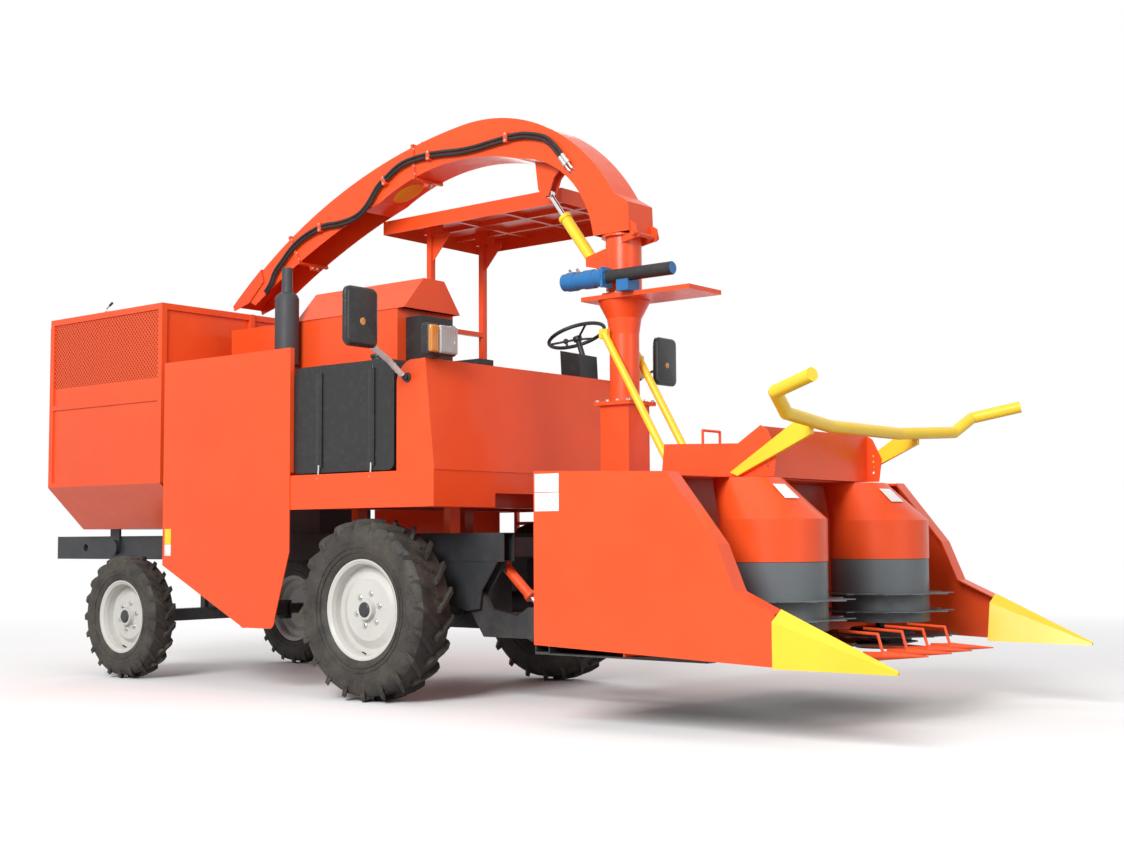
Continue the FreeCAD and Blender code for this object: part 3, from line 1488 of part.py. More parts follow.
ears = []
for way in (-1, 1):
    y = 36 * way
    ears.append(side_plate([
        (630, 3522), (655, 3330), (700, 3270), (745, 3280), (790, 3390), (850, 3445, 688),
    ], y - 5, y + 5))
eye_pin = rod("Y", 720, -41, 3300, 10, 82)
knuckles = []
for way in (-1, 1):
    y = 112 * way
    knuckles.append(side_plate([
        (tilt_x - 40, tilt_z + 22), (tilt_x - 22, tilt_z - 4), (tilt_x, tilt_z - 24),
        (tilt_x + 24, tilt_z), (tilt_x + 10, tilt_z + 60), (tilt_x - 40, tilt_z + 90),
    ], y - 6, y + 6, [(tilt_x, tilt_z, Size.of(14.06))]))
piece("spout_arch", fuse(arch, eye_pin, *ears, *knuckles))

ram("tilt_barrel", "tilt_rod", [0.0], (Size.of(ram_foot_x), Size.of(ram_foot_z)),
    (Size.of(720), Size.of(3300)), 38, 17, 14, 10, d.tilt_drift.value, 92, 44)

# --- write the pieces ---------------------------------------------------------------------

doc.recompute()
faults = [o.Name for o in doc.Objects if "Invalid" in o.State or "Error" in o.State]
for name in faults:
    print(name, doc.getObject(name).getStatusString(), [o.Label for o in doc.getObject(name).OutList][:8])
if faults:
    raise SystemExit("failed features: %s" % ", ".join(faults))
for made in pieces:
    if made.Shape.isNull() or not made.Shape.isValid():
        raise SystemExit("bad shape: %s" % made.Label)
os.makedirs("parts", exist_ok=True)
for made in pieces:
    made.Shape.exportStep("parts/%s.step" % made.Label)
print("%d pieces" % len(pieces))
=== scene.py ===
"""Procedural looks for a self-propelled forage maize harvester.

Each sub-assembly is a class that holds its sizes and builds its own meshes, and each
finish is a frozen dataclass that writes its own material.
"""
import json
import logging
import math
from dataclasses import dataclass
from enum import Enum
from typing import Dict, Optional, Sequence, Tuple, Union

import bmesh
import bpy
from mathutils import Matrix, Vector


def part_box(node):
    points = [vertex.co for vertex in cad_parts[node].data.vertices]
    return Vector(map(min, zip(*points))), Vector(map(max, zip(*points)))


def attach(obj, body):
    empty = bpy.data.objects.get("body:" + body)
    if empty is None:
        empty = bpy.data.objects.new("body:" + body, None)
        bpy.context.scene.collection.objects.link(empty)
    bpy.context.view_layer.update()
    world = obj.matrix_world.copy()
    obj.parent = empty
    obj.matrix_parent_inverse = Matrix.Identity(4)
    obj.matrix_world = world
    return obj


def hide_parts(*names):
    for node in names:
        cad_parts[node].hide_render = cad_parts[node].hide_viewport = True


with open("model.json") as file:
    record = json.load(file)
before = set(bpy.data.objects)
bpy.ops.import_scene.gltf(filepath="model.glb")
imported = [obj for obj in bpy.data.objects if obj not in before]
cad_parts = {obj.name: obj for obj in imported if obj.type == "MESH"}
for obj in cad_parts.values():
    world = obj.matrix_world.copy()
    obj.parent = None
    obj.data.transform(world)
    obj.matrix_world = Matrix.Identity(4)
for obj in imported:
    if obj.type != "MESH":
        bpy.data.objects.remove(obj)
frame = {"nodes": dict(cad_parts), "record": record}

LOG = logging.getLogger("harvester")
Point = Tuple[float, float, float]
Colour = Tuple[float, float, float]
AXLE_AHEAD = 0.130
FORE = Vector((1, 0, 0))
LEFTWARD = Vector((0, 1, 0))
UP = Vector((0, 0, 1))
WHITE = (1.0, 1.0, 1.0)


class Side(Enum):
    """The machine's right and left side, as the sign of Y."""

    RIGHT = -1
    LEFT = 1

    @property
    def word(self) -> str:
        """The side's name in node names."""
        return self.name.lower()


def at(x: float, y: float, z: float) -> Vector:
    """A point given about the front axle, moved into the row frame.

    Args:
        x: metres ahead of the front axle.
        y: metres to the left of the centre line.
        z: metres above the ground.

    Returns:
        The point in the row frame.
    """
    return Vector((x + AXLE_AHEAD, y, z))


def scaled(colour: Colour, factor: float, lift: float = 0.0) -> Colour:
    """Returns the colour times a factor, plus a lift, and no more than 1."""
    return tuple(min(1.0, c * factor + lift) for c in colour)


# --- shader maths -------------------------------------------------------------------------


Number = Union["Wave", float]


class Wave:
    """A value socket that takes part in Python arithmetic."""

    def __init__(self, graph: "Graph", socket: bpy.types.NodeSocket) -> None:
        """Keeps the socket and the graph that new Math nodes go into."""
        self.graph = graph
        self.socket = socket

    def _math(self, operation: str, left: Number, right: Number = 0.0) -> "Wave":
        """Adds one Math node.

        Args:
            operation: the Math node's operation.
            left: its first value.
            right: its second value.

        Returns:
            The node's result.
        """
        made = self.graph.node("ShaderNodeMath", {"operation": operation}, {0: left, 1: right})
        return Wave(self.graph, made.outputs[0])

    def __add__(self, other: Number) -> "Wave":
        """self + other."""
        return self._math("ADD", self, other)

    def __radd__(self, other: Number) -> "Wave":
        """other + self."""
        return self._math("ADD", other, self)

    def __sub__(self, other: Number) -> "Wave":
        """self - other."""
        return self._math("SUBTRACT", self, other)

    def __rsub__(self, other: Number) -> "Wave":
        """other - self."""
        return self._math("SUBTRACT", other, self)

    def __mul__(self, other: Number) -> "Wave":
        """self * other."""
        return self._math("MULTIPLY", self, other)

    def __rmul__(self, other: Number) -> "Wave":
        """other * self."""
        return self._math("MULTIPLY", other, self)

    def __pow__(self, other: Number) -> "Wave":
        """self to the power other."""
        return self._math("POWER", self, other)

    def sine(self) -> "Wave":
        """The sine of the value in radians."""
        return self._math("SINE", self)

    def ramp(self, low: float, high: float) -> "Wave":
        """Runs from 0 at low to 1 at high, and is held between them.

        Args:
            low: where the ramp starts.
            high: where it ends.

        Returns:
            The held ramp.
        """
        made = self.graph.node("ShaderNodeMapRange", {"clamp": True},
                                {0: self, 1: low, 2: high, 3: 0.0, 4: 1.0})
        return Wave(self.graph, made.outputs[0])


class Graph:
    """A node tree that starts empty."""

    def __init__(self, tree: bpy.types.NodeTree) -> None:
        """Clears the tree and keeps it."""
        self.tree = tree
        self.tree.nodes.clear()

    def node(self, kind: str, settings: Optional[Dict[str, object]] = None,
             values: Optional[Dict[object, object]] = None) -> bpy.types.Node:
        """Adds any node.

        Args:
            kind: the node's type.
            settings: attributes, which are set first.
            values: what goes to its sockets, as numbers, colours, sockets or waves.

        Returns:
            The new node.
        """
        made = self.tree.nodes.new(kind)
        for key, value in (settings or {}).items():
            setattr(made, key, value)
        for key, value in (values or {}).items():
            self.feed(made.inputs[key], value)
        return made

    def feed(self, socket: bpy.types.NodeSocket, value: object) -> None:
        """Links or sets one socket.

        Args:
            socket: the socket to feed.
            value: a wave, a socket, a number or a colour.
        """
        if isinstance(value, Wave):
            value = value.socket
        if isinstance(value, bpy.types.NodeSocket):
            self.tree.links.new(value, socket)
        elif isinstance(value, tuple) and len(value) == 3 and socket.type == "RGBA":
            socket.default_value = (*value, 1.0)
        else:
            socket.default_value = value


class Recipe(Graph):
    """One material under construction."""

    def __init__(self, name: str) -> None:
        """Starts an empty node material with its output and a Principled shader."""
        self.material = bpy.data.materials.new(name)
        self.material.use_nodes = True
        super().__init__(self.material.node_tree)
        self.output = self.node("ShaderNodeOutputMaterial")
        self.shader = self.node("ShaderNodeBsdfPrincipled")
        self.tree.links.new(self.shader.outputs[0], self.output.inputs[0])
        self.place = self.node("ShaderNodeTexCoord").outputs["Object"]
        split = self.node("ShaderNodeSeparateXYZ", {}, {0: self.place})
        self.x = Wave(self, split.outputs[0])
        self.y = Wave(self, split.outputs[1])
        self.z = Wave(self, split.outputs[2])

    def noise(self, scale: float, detail: float = 3.0, rough: float = 0.5,
              stretch: Point = (1.0, 1.0, 1.0), shift: float = 0.0) -> Wave:
        """A noise field over the object's own coordinates.

        Args:
            scale: how fine it is.
            detail: its octaves.
            rough: how strong the finer octaves are.
            stretch: a factor for each axis.
            shift: an offset that sets it apart from its neighbours.

        Returns:
            The noise's value, about 0.5 on average.
        """
        mapped = self.node("ShaderNodeMapping", {}, {"Vector": self.place, "Scale": stretch,
                                                     "Location": (shift, shift * 0.7, shift * 1.3)})
        made = self.node("ShaderNodeTexNoise", {}, {"Vector": mapped.outputs[0], "Scale": scale,
                                                    "Detail": detail, "Roughness": rough})
        return Wave(self, made.outputs["Fac"])

    def blend(self, low: object, high: object, share: Number) -> bpy.types.NodeSocket:
        """Mixes two colours.

        Args:
            low: the colour where share is 0.
            high: the colour where share is 1.
            share: how much of the second.

        Returns:
            The mixed colour.
        """
        made = self.node("ShaderNodeMix", {"data_type": "RGBA"}, {0: share, 6: low, 7: high})
        return made.outputs[2]

    def bump(self, height: Wave, strength: float, distance: float) -> None:
        """Feeds a height field to the normal.

        Args:
            height: the field.
            strength: the Bump node's strength.
            distance: its depth in metres.
        """
        made = self.node("ShaderNodeBump", {}, {"Height": height, "Strength": strength,
                                                "Distance": distance})
        self.feed(self.shader.inputs["Normal"], made.outputs[0])

    def put(self, **values: object) -> None:
        """Feeds the Principled shader, with names such as base_color for Base Color."""
        names = {"base_color": "Base Color", "roughness": "Roughness", "metallic": "Metallic",
                 "coat": "Coat Weight", "coat_roughness": "Coat Roughness", "ior": "IOR",
                 "transmission": "Transmission Weight", "sheen": "Sheen Weight",
                 "specular": "Specular IOR Level"}
        for key, value in values.items():
            self.feed(self.shader.inputs[names[key]], value)


# --- finishes -----------------------------------------------------------------------------


@dataclass(frozen=True)
class Enamel:
    """Sprayed paint on steel: orange peel, faint mottling, dust low down, fine chips."""

    name: str
    colour: Colour
    rough: float = 0.30
    coat: float = 0.12
    dust: float = 0.05
    chips: float = 0.10
    dust_top: float = 0.8
    shine: float = 0.32

    def build(self) -> bpy.types.Material:
        """Writes the material.

        Returns:
            The painted material.
        """
        r = Recipe(self.name)
        mottle = r.noise(2.2, 4.0, 0.55)
        deep = scaled(self.colour, 0.94)
        pale = scaled(self.colour, 1.04, 0.001)
        paint = r.blend(deep, pale, mottle.ramp(0.3, 0.7))
        streak = r.noise(5.0, 5.0, 0.6, shift=3.1)
        low = 1.0 - r.z.ramp(0.15, self.dust_top)
        dirt = (streak.ramp(0.5, 0.8) * 0.4 + low * r.noise(14.0, 6.0, 0.65).ramp(0.35, 0.7)) \
            * self.dust
        dirt = dirt.ramp(0.0, 1.0)
        paint = r.blend(paint, (0.33, 0.26, 0.19), dirt)
        chip = r.noise(46.0, 4.0, 0.7, shift=7.7).ramp(0.735, 0.755) * self.chips
        paint = r.blend(paint, (0.10, 0.075, 0.06), chip)
        peel = r.noise(320.0, 2.0, 0.4)
        wave = r.noise(6.0, 2.0, 0.4, shift=1.7)
        r.put(base_color=paint,
              roughness=(r.noise(11.0, 4.0).ramp(0.3, 0.8) * 0.13 + self.rough + dirt * 0.35),
              coat=self.coat, coat_roughness=0.12, metallic=0.0, specular=self.shine)
        r.bump(peel * 0.25 + wave * 2.0 - chip * 0.8, 0.25, 0.0012)
        return r.material


@dataclass(frozen=True)
class Perforated:
    """Painted sheet with rows of round holes, each painted a dark shaded red: painted shade seen
    through the hole.
    """

    name: str
    colour: Colour
    pitch: float = 0.034

    def build(self) -> bpy.types.Material:
        """Writes the material.

        Returns:
            The perforated sheet.
        """
        r = Recipe(self.name)
        turn = 2.0 * math.pi / self.pitch
        holes = ((r.x * turn).sine() * (r.z * turn).sine()).ramp(0.10, 0.40)
        paint = r.blend(self.colour, scaled(self.colour, 0.86), r.noise(3.0))
        # The holes get a dark copy of the red paint: painted shade seen through them. Their
        # roughness and bump are the real perforation.
        r.put(base_color=r.blend(paint, scaled(self.colour, 0.22), holes),
              roughness=holes * 0.3 + 0.38, coat=0.05, specular=0.3)
        r.bump(1.0 - holes, 0.6, 0.002)
        return r.material


@dataclass(frozen=True)
class Rubber:
    """Black rubber with grey bloom and dust."""

    name: str
    colour: Colour = (0.022, 0.021, 0.020)
    dusty: Colour = (0.16, 0.135, 0.105)
    amount: float = 0.55
    grain: float = 90.0

    def build(self) -> bpy.types.Material:
        """Writes the material.

        Returns:
            The rubber.
        """
        r = Recipe(self.name)
        cloud = r.noise(7.0, 6.0, 0.65)
        speck = r.noise(60.0, 4.0, 0.7, shift=4.0)
        dust = (cloud.ramp(0.35, 0.75) * 0.75 + speck.ramp(0.5, 0.8) * 0.5) * self.amount
        dust = dust.ramp(0.0, 1.0)
        r.put(base_color=r.blend(self.colour, self.dusty, dust), roughness=dust * 0.25 + 0.6,
              specular=0.35)
        r.bump(r.noise(self.grain, 5.0, 0.7) + cloud * 0.6, 0.35, 0.002)
        return r.material


@dataclass(frozen=True)
class Plastic:
    """Moulded plastic with a fine grain."""

    name: str
    colour: Colour
    rough: float = 0.42
    grain: float = 260.0
    depth: float = 0.2

    def build(self) -> bpy.types.Material:
        """Writes the material.

        Returns:
            The moulded plastic.
        """
        r = Recipe(self.name)
        cloud = r.noise(5.0, 4.0, 0.6)
        dust = r.noise(18.0, 6.0, 0.7, shift=2.0).ramp(0.5, 0.8) * 0.22
        tone = r.blend(scaled(self.colour, 0.8), scaled(self.colour, 1.25), cloud)
        r.put(base_color=r.blend(tone, (0.22, 0.20, 0.17), dust * 0.5),
              roughness=cloud * 0.12 + self.rough + dust * 0.3)
        r.bump(r.noise(self.grain, 3.0, 0.5) + cloud * 0.5, self.depth, 0.0012)
        return r.material


@dataclass(frozen=True)
class Metal:
    """Bare or plated metal with fine drawn lines."""

    name: str
    colour: Colour
    rough: float = 0.22
    lines: Point = (1.0, 1.0, 14.0)
    stain: float = 0.25

    def build(self) -> bpy.types.Material:
        """Writes the material.

        Returns:
            The metal.
        """
        r = Recipe(self.name)
        drawn = r.noise(130.0, 3.0, 0.6, self.lines)
        cloud = r.noise(8.0, 5.0, 0.6, shift=5.0).ramp(0.45, 0.8) * self.stain
        r.put(base_color=r.blend(self.colour, scaled(self.colour, 0.45), cloud),
              metallic=1.0 - cloud * 0.3, roughness=drawn * 0.10 + self.rough + cloud * 0.35)
        r.bump(drawn, 0.12, 0.0008)
        return r.material


@dataclass(frozen=True)
class Lens:
    """A clear or coloured lamp lens with vertical flutes."""

    name: str
    colour: Colour
    clear: float = 0.55

    def build(self) -> bpy.types.Material:
        """Writes the material.

        Returns:
            The lens.
        """
        r = Recipe(self.name)
        flute = (r.y * 420.0).sine() * 0.5 + 0.5
        tint = r.blend(self.colour, scaled(self.colour, 0.7), flute)
        r.put(base_color=tint, roughness=r.noise(30.0) * 0.10 + 0.06, coat=0.8,
              coat_roughness=0.05, transmission=self.clear, ior=1.45)
        r.bump(flute, 0.35, 0.002)
        return r.material


@dataclass(frozen=True)
class Vinyl:
    """Seat vinyl with a pebbled grain."""

    name: str
    colour: Colour

    def build(self) -> bpy.types.Material:
        """Writes the material.

        Returns:
            The vinyl.
        """
        r = Recipe(self.name)
        cells = r.node("ShaderNodeTexVoronoi", {"feature": "DISTANCE_TO_EDGE"},
                       {"Vector": r.place, "Scale": 210.0})
        pebble = Wave(r, cells.outputs[0]).ramp(0.0, 0.25)
        wear = r.noise(9.0, 5.0).ramp(0.45, 0.8)
        r.put(base_color=r.blend(self.colour, scaled(self.colour, 2.4, 0.01), wear * 0.6),
              roughness=0.38 + wear * 0.18, sheen=0.1)
        r.bump(pebble + wear * 0.5, 0.4, 0.0012)
        return r.material


RED = (0.80, 0.080, 0.014)
YELLOW = (0.90, 0.60, 0.030)


class Palette:
    """Every finish of the machine, built once."""

    def __init__(self) -> None:
        """Builds the materials."""
        self.red = Enamel("orange_red_paint", RED).build()
        self.yellow = Enamel("yellow_paint", YELLOW, chips=0.3).build()
        self.chassis = Enamel("chassis_paint", (0.030, 0.032, 0.036), rough=0.42,
                              dust=0.16).build()
        self.grey = Enamel("grey_paint", (0.115, 0.13, 0.14), rough=0.38, dust=0.12).build()
        self.blade = Enamel("blade_black", (0.030, 0.030, 0.032), rough=0.35, dust=0.2,
                            chips=0.6).build()
        self.blue = Enamel("motor_blue", (0.02, 0.15, 0.38)).build()
        self.silver = Enamel("rim_silver", (0.58, 0.57, 0.54), rough=0.34, dust=0.2,
                             chips=0.3).build()
        self.exhaust = Enamel("exhaust_grey", (0.050, 0.053, 0.058), rough=0.48, coat=0.0,
                              dust=0.1, chips=0.4).build()
        self.engine = Enamel("engine_grey", (0.06, 0.066, 0.07), rough=0.45, coat=0.0).build()
        self.mesh = Perforated("perforated_sheet", RED).build()
        self.tyre = Rubber("tyre_rubber").build()
        self.hose = Rubber("hose_rubber", (0.014, 0.014, 0.015), (0.10, 0.09, 0.08), 0.25,
                           400.0).build()
        self.black = Plastic("black_plastic", (0.009, 0.009, 0.010)).build()
        self.gloss_black = Plastic("gloss_black", (0.012, 0.012, 0.013), rough=0.22, grain=8.0,
                                   depth=0.05).build()
        self.wrap = Plastic("wrap_white", (0.62, 0.62, 0.60), rough=0.25, grain=40.0,
                            depth=0.6).build()
        self.plate = Plastic("blank_plate", (0.80, 0.80, 0.79), rough=0.35, grain=20.0,
                             depth=0.03).build()
        self.chrome = Metal("rod_chrome", (0.78, 0.79, 0.80), rough=0.10, stain=0.1).build()
        self.zinc = Metal("zinc", (0.60, 0.60, 0.58), rough=0.32).build()
        self.clear = Lens("clear_lens", (0.90, 0.90, 0.88)).build()
        self.amber_paint = Enamel("cover_amber", (0.78, 0.42, 0.03), rough=0.4).build()
        self.amber = Lens("amber_lens", (0.95, 0.34, 0.03), 0.25).build()
        self.vinyl = Vinyl("seat_vinyl", (0.018, 0.018, 0.020)).build()
        self.reflector = Metal("reflector", (0.85, 0.85, 0.86), rough=0.08, stain=0.0).build()


# --- mesh making --------------------------------------------------------------------------


class Builder:
    """Collects faces for one piece and turns them into an object."""

    def __init__(self, name: str, material: bpy.types.Material) -> None:
        """Starts an empty piece."""
        self.name = name
        self.material = material
        self.bm = bmesh.new()

    def block(self, low: Sequence[float], high: Sequence[float], bevel: float = 0.0,
              steps: int = 2) -> "Builder":
        """Adds a box with rounded edges.

        Args:
            low: its lowest corner.
            high: its highest corner.
            bevel: the edge radius.
            steps: the segments of the rounding.

        Returns:
            The builder.
        """
        made = bmesh.ops.create_cube(self.bm, size=1.0)["verts"]
        for v in made:
            for k in range(3):
                v.co[k] = low[k] + (v.co[k] + 0.5) * (high[k] - low[k])
        if bevel > 0:
            edges = list({e for v in made for e in v.link_edges})
            bmesh.ops.bevel(self.bm, geom=edges, offset=bevel, segments=steps, profile=0.6,
                            affect="EDGES")
        return self

    def bridge(self, rings: Sequence[Sequence[bmesh.types.BMVert]]) -> "Builder":
        """Joins closed rings of equal count, one to the next, and caps both ends.

        Args:
            rings: the rings of corners, in order.

        Returns:
            The builder.
        """
        for a, b in zip(rings, rings[1:]):
            for k in range(len(a)):
                j = (k + 1) % len(a)
                self.bm.faces.new((a[k], a[j], b[j], b[k]))
        self.bm.faces.new(list(reversed(rings[0])))
        self.bm.faces.new(rings[-1])
        return self

    def shell(self, low: Sequence[float], high: Sequence[float], corner: float,
              edge: float) -> "Builder":
        """Adds a block that is thin in X, with round corners in the Y-Z plane.

        Args:
            low: its lowest corner.
            high: its highest corner.
            corner: the radius of its four corners.
            edge: how far its front and back edges are rounded.

        Returns:
            The builder.
        """
        rings = []
        stations = [(low[0], edge * 1.6), (low[0] + edge * 0.35, edge * 0.5),
                    (low[0] + edge, 0.0), (high[0] - edge, 0.0),
                    (high[0] - edge * 0.35, edge * 0.5), (high[0], edge * 1.6)]
        for x, inset in stations:
            ring = []
            for k in range(4):
                way_y, way_z = ((1, 1), (-1, 1), (-1, -1), (1, -1))[k]
                y = (high[1] if way_y > 0 else low[1]) - way_y * corner
                z = (high[2] if way_z > 0 else low[2]) - way_z * corner
                for step in range(7):
                    t = math.pi / 2 * (k + step / 6)
                    ring.append(self.bm.verts.new((x, y + math.cos(t) * (corner - inset),
                                                   z + math.sin(t) * (corner - inset))))
            rings.append(ring)
        return self.bridge(rings)

    def slab(self, centre: Vector, along: Vector, half: Point, bevel: float = 0.0) -> "Builder":
        """Adds a rounded block whose length lies along a direction in the X-Z plane.

        Args:
            centre: its middle.
            along: the direction of its length.
            half: half its length, its width in Y and its thickness.
            bevel: the edge radius.

        Returns:
            The builder.
        """
        before = set(self.bm.verts)
        self.block([-h for h in half], half, bevel)
        way = along.normalized()
        turn = Matrix((way, LEFTWARD, LEFTWARD.cross(way) * -1)).transposed()
        for v in self.bm.verts:
            if v not in before:
                v.co = centre + turn @ v.co
        return self

    def turned(self, profile: Sequence[Tuple[float, float]], origin: Vector, axis: Vector,
               steps: int = 48) -> "Builder":
        """Adds a revolved form.

        Args:
            profile: (radius, distance along the axis) points.
            origin: where distance 0 is.
            axis: the axis direction.
            steps: the number of sides.

        Returns:
            The builder.
        """
        spin = axis.to_track_quat("Z", "Y").to_matrix()
        rings = []
        for radius, along in profile:
            ring = []
            for k in range(steps if radius > 1e-6 else 1):
                a = 2 * math.pi * k / steps
                local = Vector((radius * math.cos(a), radius * math.sin(a), along))
                ring.append(self.bm.verts.new(origin + spin @ local))
            rings.append(ring)
        for a, b in zip(rings, rings[1:]):
            for k in range(steps):
                j = (k + 1) % steps
                if len(a) == 1 and len(b) > 1:
                    self.bm.faces.new((a[0], b[k], b[j]))
                elif len(b) == 1 and len(a) > 1:
                    self.bm.faces.new((a[k], a[j], b[0]))
                elif len(a) > 1:
                    self.bm.faces.new((a[k], a[j], b[j], b[k]))
        return self

    def tube(self, path: Sequence[Vector], radius: float, sides: int = 12) -> "Builder":
        """Adds a round bar along a path.

        Args:
            path: the points it follows.
            radius: its radius.
            sides: the number of sides.

        Returns:
            The builder.
        """
        rings = []
        for i, spot in enumerate(path):
            ahead = (path[min(i + 1, len(path) - 1)] - path[max(i - 1, 0)]).normalized()
            side = ahead.cross(UP if abs(ahead.z) < 0.95 else FORE).normalized()
            over = side.cross(ahead)
            rings.append([self.bm.verts.new(spot + (side * math.cos(t) + over * math.sin(t))
                                            * radius)
                          for t in (2 * math.pi * k / sides for k in range(sides))])
        return self.bridge(rings)

    def hexagon(self, spot: Vector, axis: Vector, across: float, tall: float) -> "Builder":
        """Adds a bolt head with its washer.

        Args:
            spot: the middle of the seat.
            axis: the way the head points.
            across: the size over its corners.
            tall: the head's height.

        Returns:
            The builder.
        """
        self.turned([(0, 0), (across * 0.72, 0), (across * 0.72, tall * 0.22), (0, tall * 0.22)],
                    spot, axis, 16)
        self.turned([(across * 0.5, tall * 0.2), (across * 0.5, tall * 0.85),
                     (across * 0.42, tall), (0, tall)], spot, axis, 6)
        return self

    def finish(self, body: str, slot: str, smooth: bool = True,
               sharp: float = 35.0) -> bpy.types.Object:
        """Makes the object and lets it ride.

        Args:
            body: the body that it moves with.
            slot: not used.
            smooth: shades it smooth up to the sharp angle.
            sharp: that angle in degrees.

        Returns:
            The object.
        """
        bmesh.ops.recalc_face_normals(self.bm, faces=self.bm.faces)
        mesh = bpy.data.meshes.new(self.name)
        self.bm.to_mesh(mesh)
        self.bm.free()
        mesh.materials.append(self.material)
        piece = bpy.data.objects.new(self.name, mesh)
        bpy.context.scene.collection.objects.link(piece)
        if smooth:
            for polygon in mesh.polygons:
                polygon.use_smooth = True
            mesh.set_sharp_from_angle(angle=math.radians(sharp))
        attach(piece, body)
        LOG.info("piece %s on %s, %d faces", self.name, body, len(mesh.polygons))
        return piece


# --- wheels -------------------------------------------------------------------------------


@dataclass
class Wheel:
    """A lugged tyre that stands for the plain CAD tyre, with its bolts and hub cap."""

    name: str
    side: Side
    centre: Vector
    radius: float
    wide: float
    rim: float
    face: float
    lugs: int
    bolt_ring: float
    hub: float = 0.048
    hub_out: float = 0.092
    depth: float = 0.030
    lug_taper: float = 0.72
    bolts: int = 6

    def build(self, palette: Palette) -> None:
        """Makes the tyre, the wheel bolts, the hub cap and the valve."""
        body = self.name + "_wheel"
        tyre = Builder(self.name + "_tread", palette.tyre)
        half = self.wide / 2
        base = self.radius - self.depth
        out = Vector((0, self.side.value, 0))
        wall = [(self.rim + 0.002, half * 0.78), (self.rim + 0.012, half * 0.86),
                (self.rim + 0.030, half * 0.90), (self.rim * 0.62 + base * 0.38, half * 0.985),
                (self.rim * 0.40 + base * 0.60, half), (base - 0.045, half * 0.97),
                (base - 0.020, half * 0.90), (base - 0.004, half * 0.76), (base, half * 0.4)]
        profile = [(r, -y) for r, y in wall] + [(base, 0.0)] + [(r, y) for r, y in reversed(wall)]
        tyre.turned(profile, self.centre, LEFTWARD, 96)
        for k in range(self.lugs):
            for way in (-1, 1):
                self._lug(tyre, (k + (0.0 if way > 0 else 0.5)) * 2 * math.pi / self.lugs, way)
        for r, y in ((self.rim + 0.045, half * 0.955), (self.rim + 0.075, half * 0.985)):
            for way in (-1, 1):
                ring = [self.centre + Vector((r * math.cos(t), way * y, r * math.sin(t)))
                        for t in (2 * math.pi * k / 72 for k in range(73))]
                tyre.tube(ring, 0.0028, 6)
        piece = tyre.finish(body, "tyre_rubber", True, 32)
        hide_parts(self.name + "_tyre")
        bolts = Builder(self.name + "_bolts", palette.zinc)
        for k in range(self.bolts):
            t = 2 * math.pi * (k + 0.25) / self.bolts
            spot = self.centre + Vector((math.cos(t) * self.bolt_ring,
                                         self.side.value * self.face,
                                         math.sin(t) * self.bolt_ring))
            bolts.hexagon(spot, out, 0.027, 0.020)
        bolts.finish(body, "rim_silver")
        cap = Builder(self.name + "_cap", palette.chassis)
        h = self.hub
        cap.turned([(h, -0.012), (h, 0.004), (h * 0.86, 0.010), (h * 0.55, 0.013), (0, 0.014)],
                   self.centre + out * self.hub_out, out, 40)
        for k in range(self.bolts):
            t = 2 * math.pi * k / self.bolts
            cap.hexagon(self.centre + out * (self.hub_out + 0.008)
                        + Vector((math.cos(t), 0, math.sin(t))) * h * 0.70, out, 0.009, 0.006)
        cap.finish(body, "chassis_grey")
        valve = Builder(self.name + "_valve", palette.black)
        foot = self.centre + Vector((0, self.side.value * (self.face + 0.02), -self.rim + 0.04))
        valve.tube([foot, foot + Vector((0, self.side.value * 0.03, 0.014))], 0.005, 8)
        valve.finish(body, "rim_silver")

    def _corner(self, tyre: Builder, radius: float, turn: float, y: float) -> bmesh.types.BMVert:
        """Adds one corner of a tread bar at a radius and an angle round the wheel."""
        spot = Vector((radius * math.cos(turn), y, radius * math.sin(turn)))
        return tyre.bm.verts.new(self.centre + spot)

    def _lug(self, tyre: Builder, start: float, way: int) -> None:
        """Adds one bar of the tread, from near the middle round the shoulder.

        Args:
            tyre: the tyre's builder.
            start: the bar's angle at the middle of the tread.
            way: 1 for the +Y half of the tread, -1 for the other.
        """
        half = self.wide / 2
        base = self.radius - self.depth
        stations = [
            (0.02, base - 0.004, self.radius, 0.017),
            (0.35, base - 0.004, self.radius, 0.019),
            (0.68, base - 0.006, self.radius - 0.002, 0.022),
            (0.92, base - 0.020, self.radius - 0.010, 0.026),
            (0.995, base - 0.060, self.radius - 0.036, 0.022),
        ]
        rings = []
        sweep = half * 0.95 / self.radius
        for share, low, high, thick in stations:
            top = thick * self.lug_taper
            rings.append([self._corner(tyre, r, start + sweep * share + w / self.radius,
                                       way * half * share)
                          for r, w in ((low, thick), (high, top), (high, -top), (low, -thick))])
        foot = ((base - 0.075, 0.012), (base - 0.060, 0.010), (base - 0.060, -0.010),
                (base - 0.075, -0.012))
        rings.append([self._corner(tyre, r, start + sweep + w / self.radius, way * half * 0.90)
                      for r, w in foot])
        tyre.bridge(rings)


# --- station ------------------------------------------------------------------------------


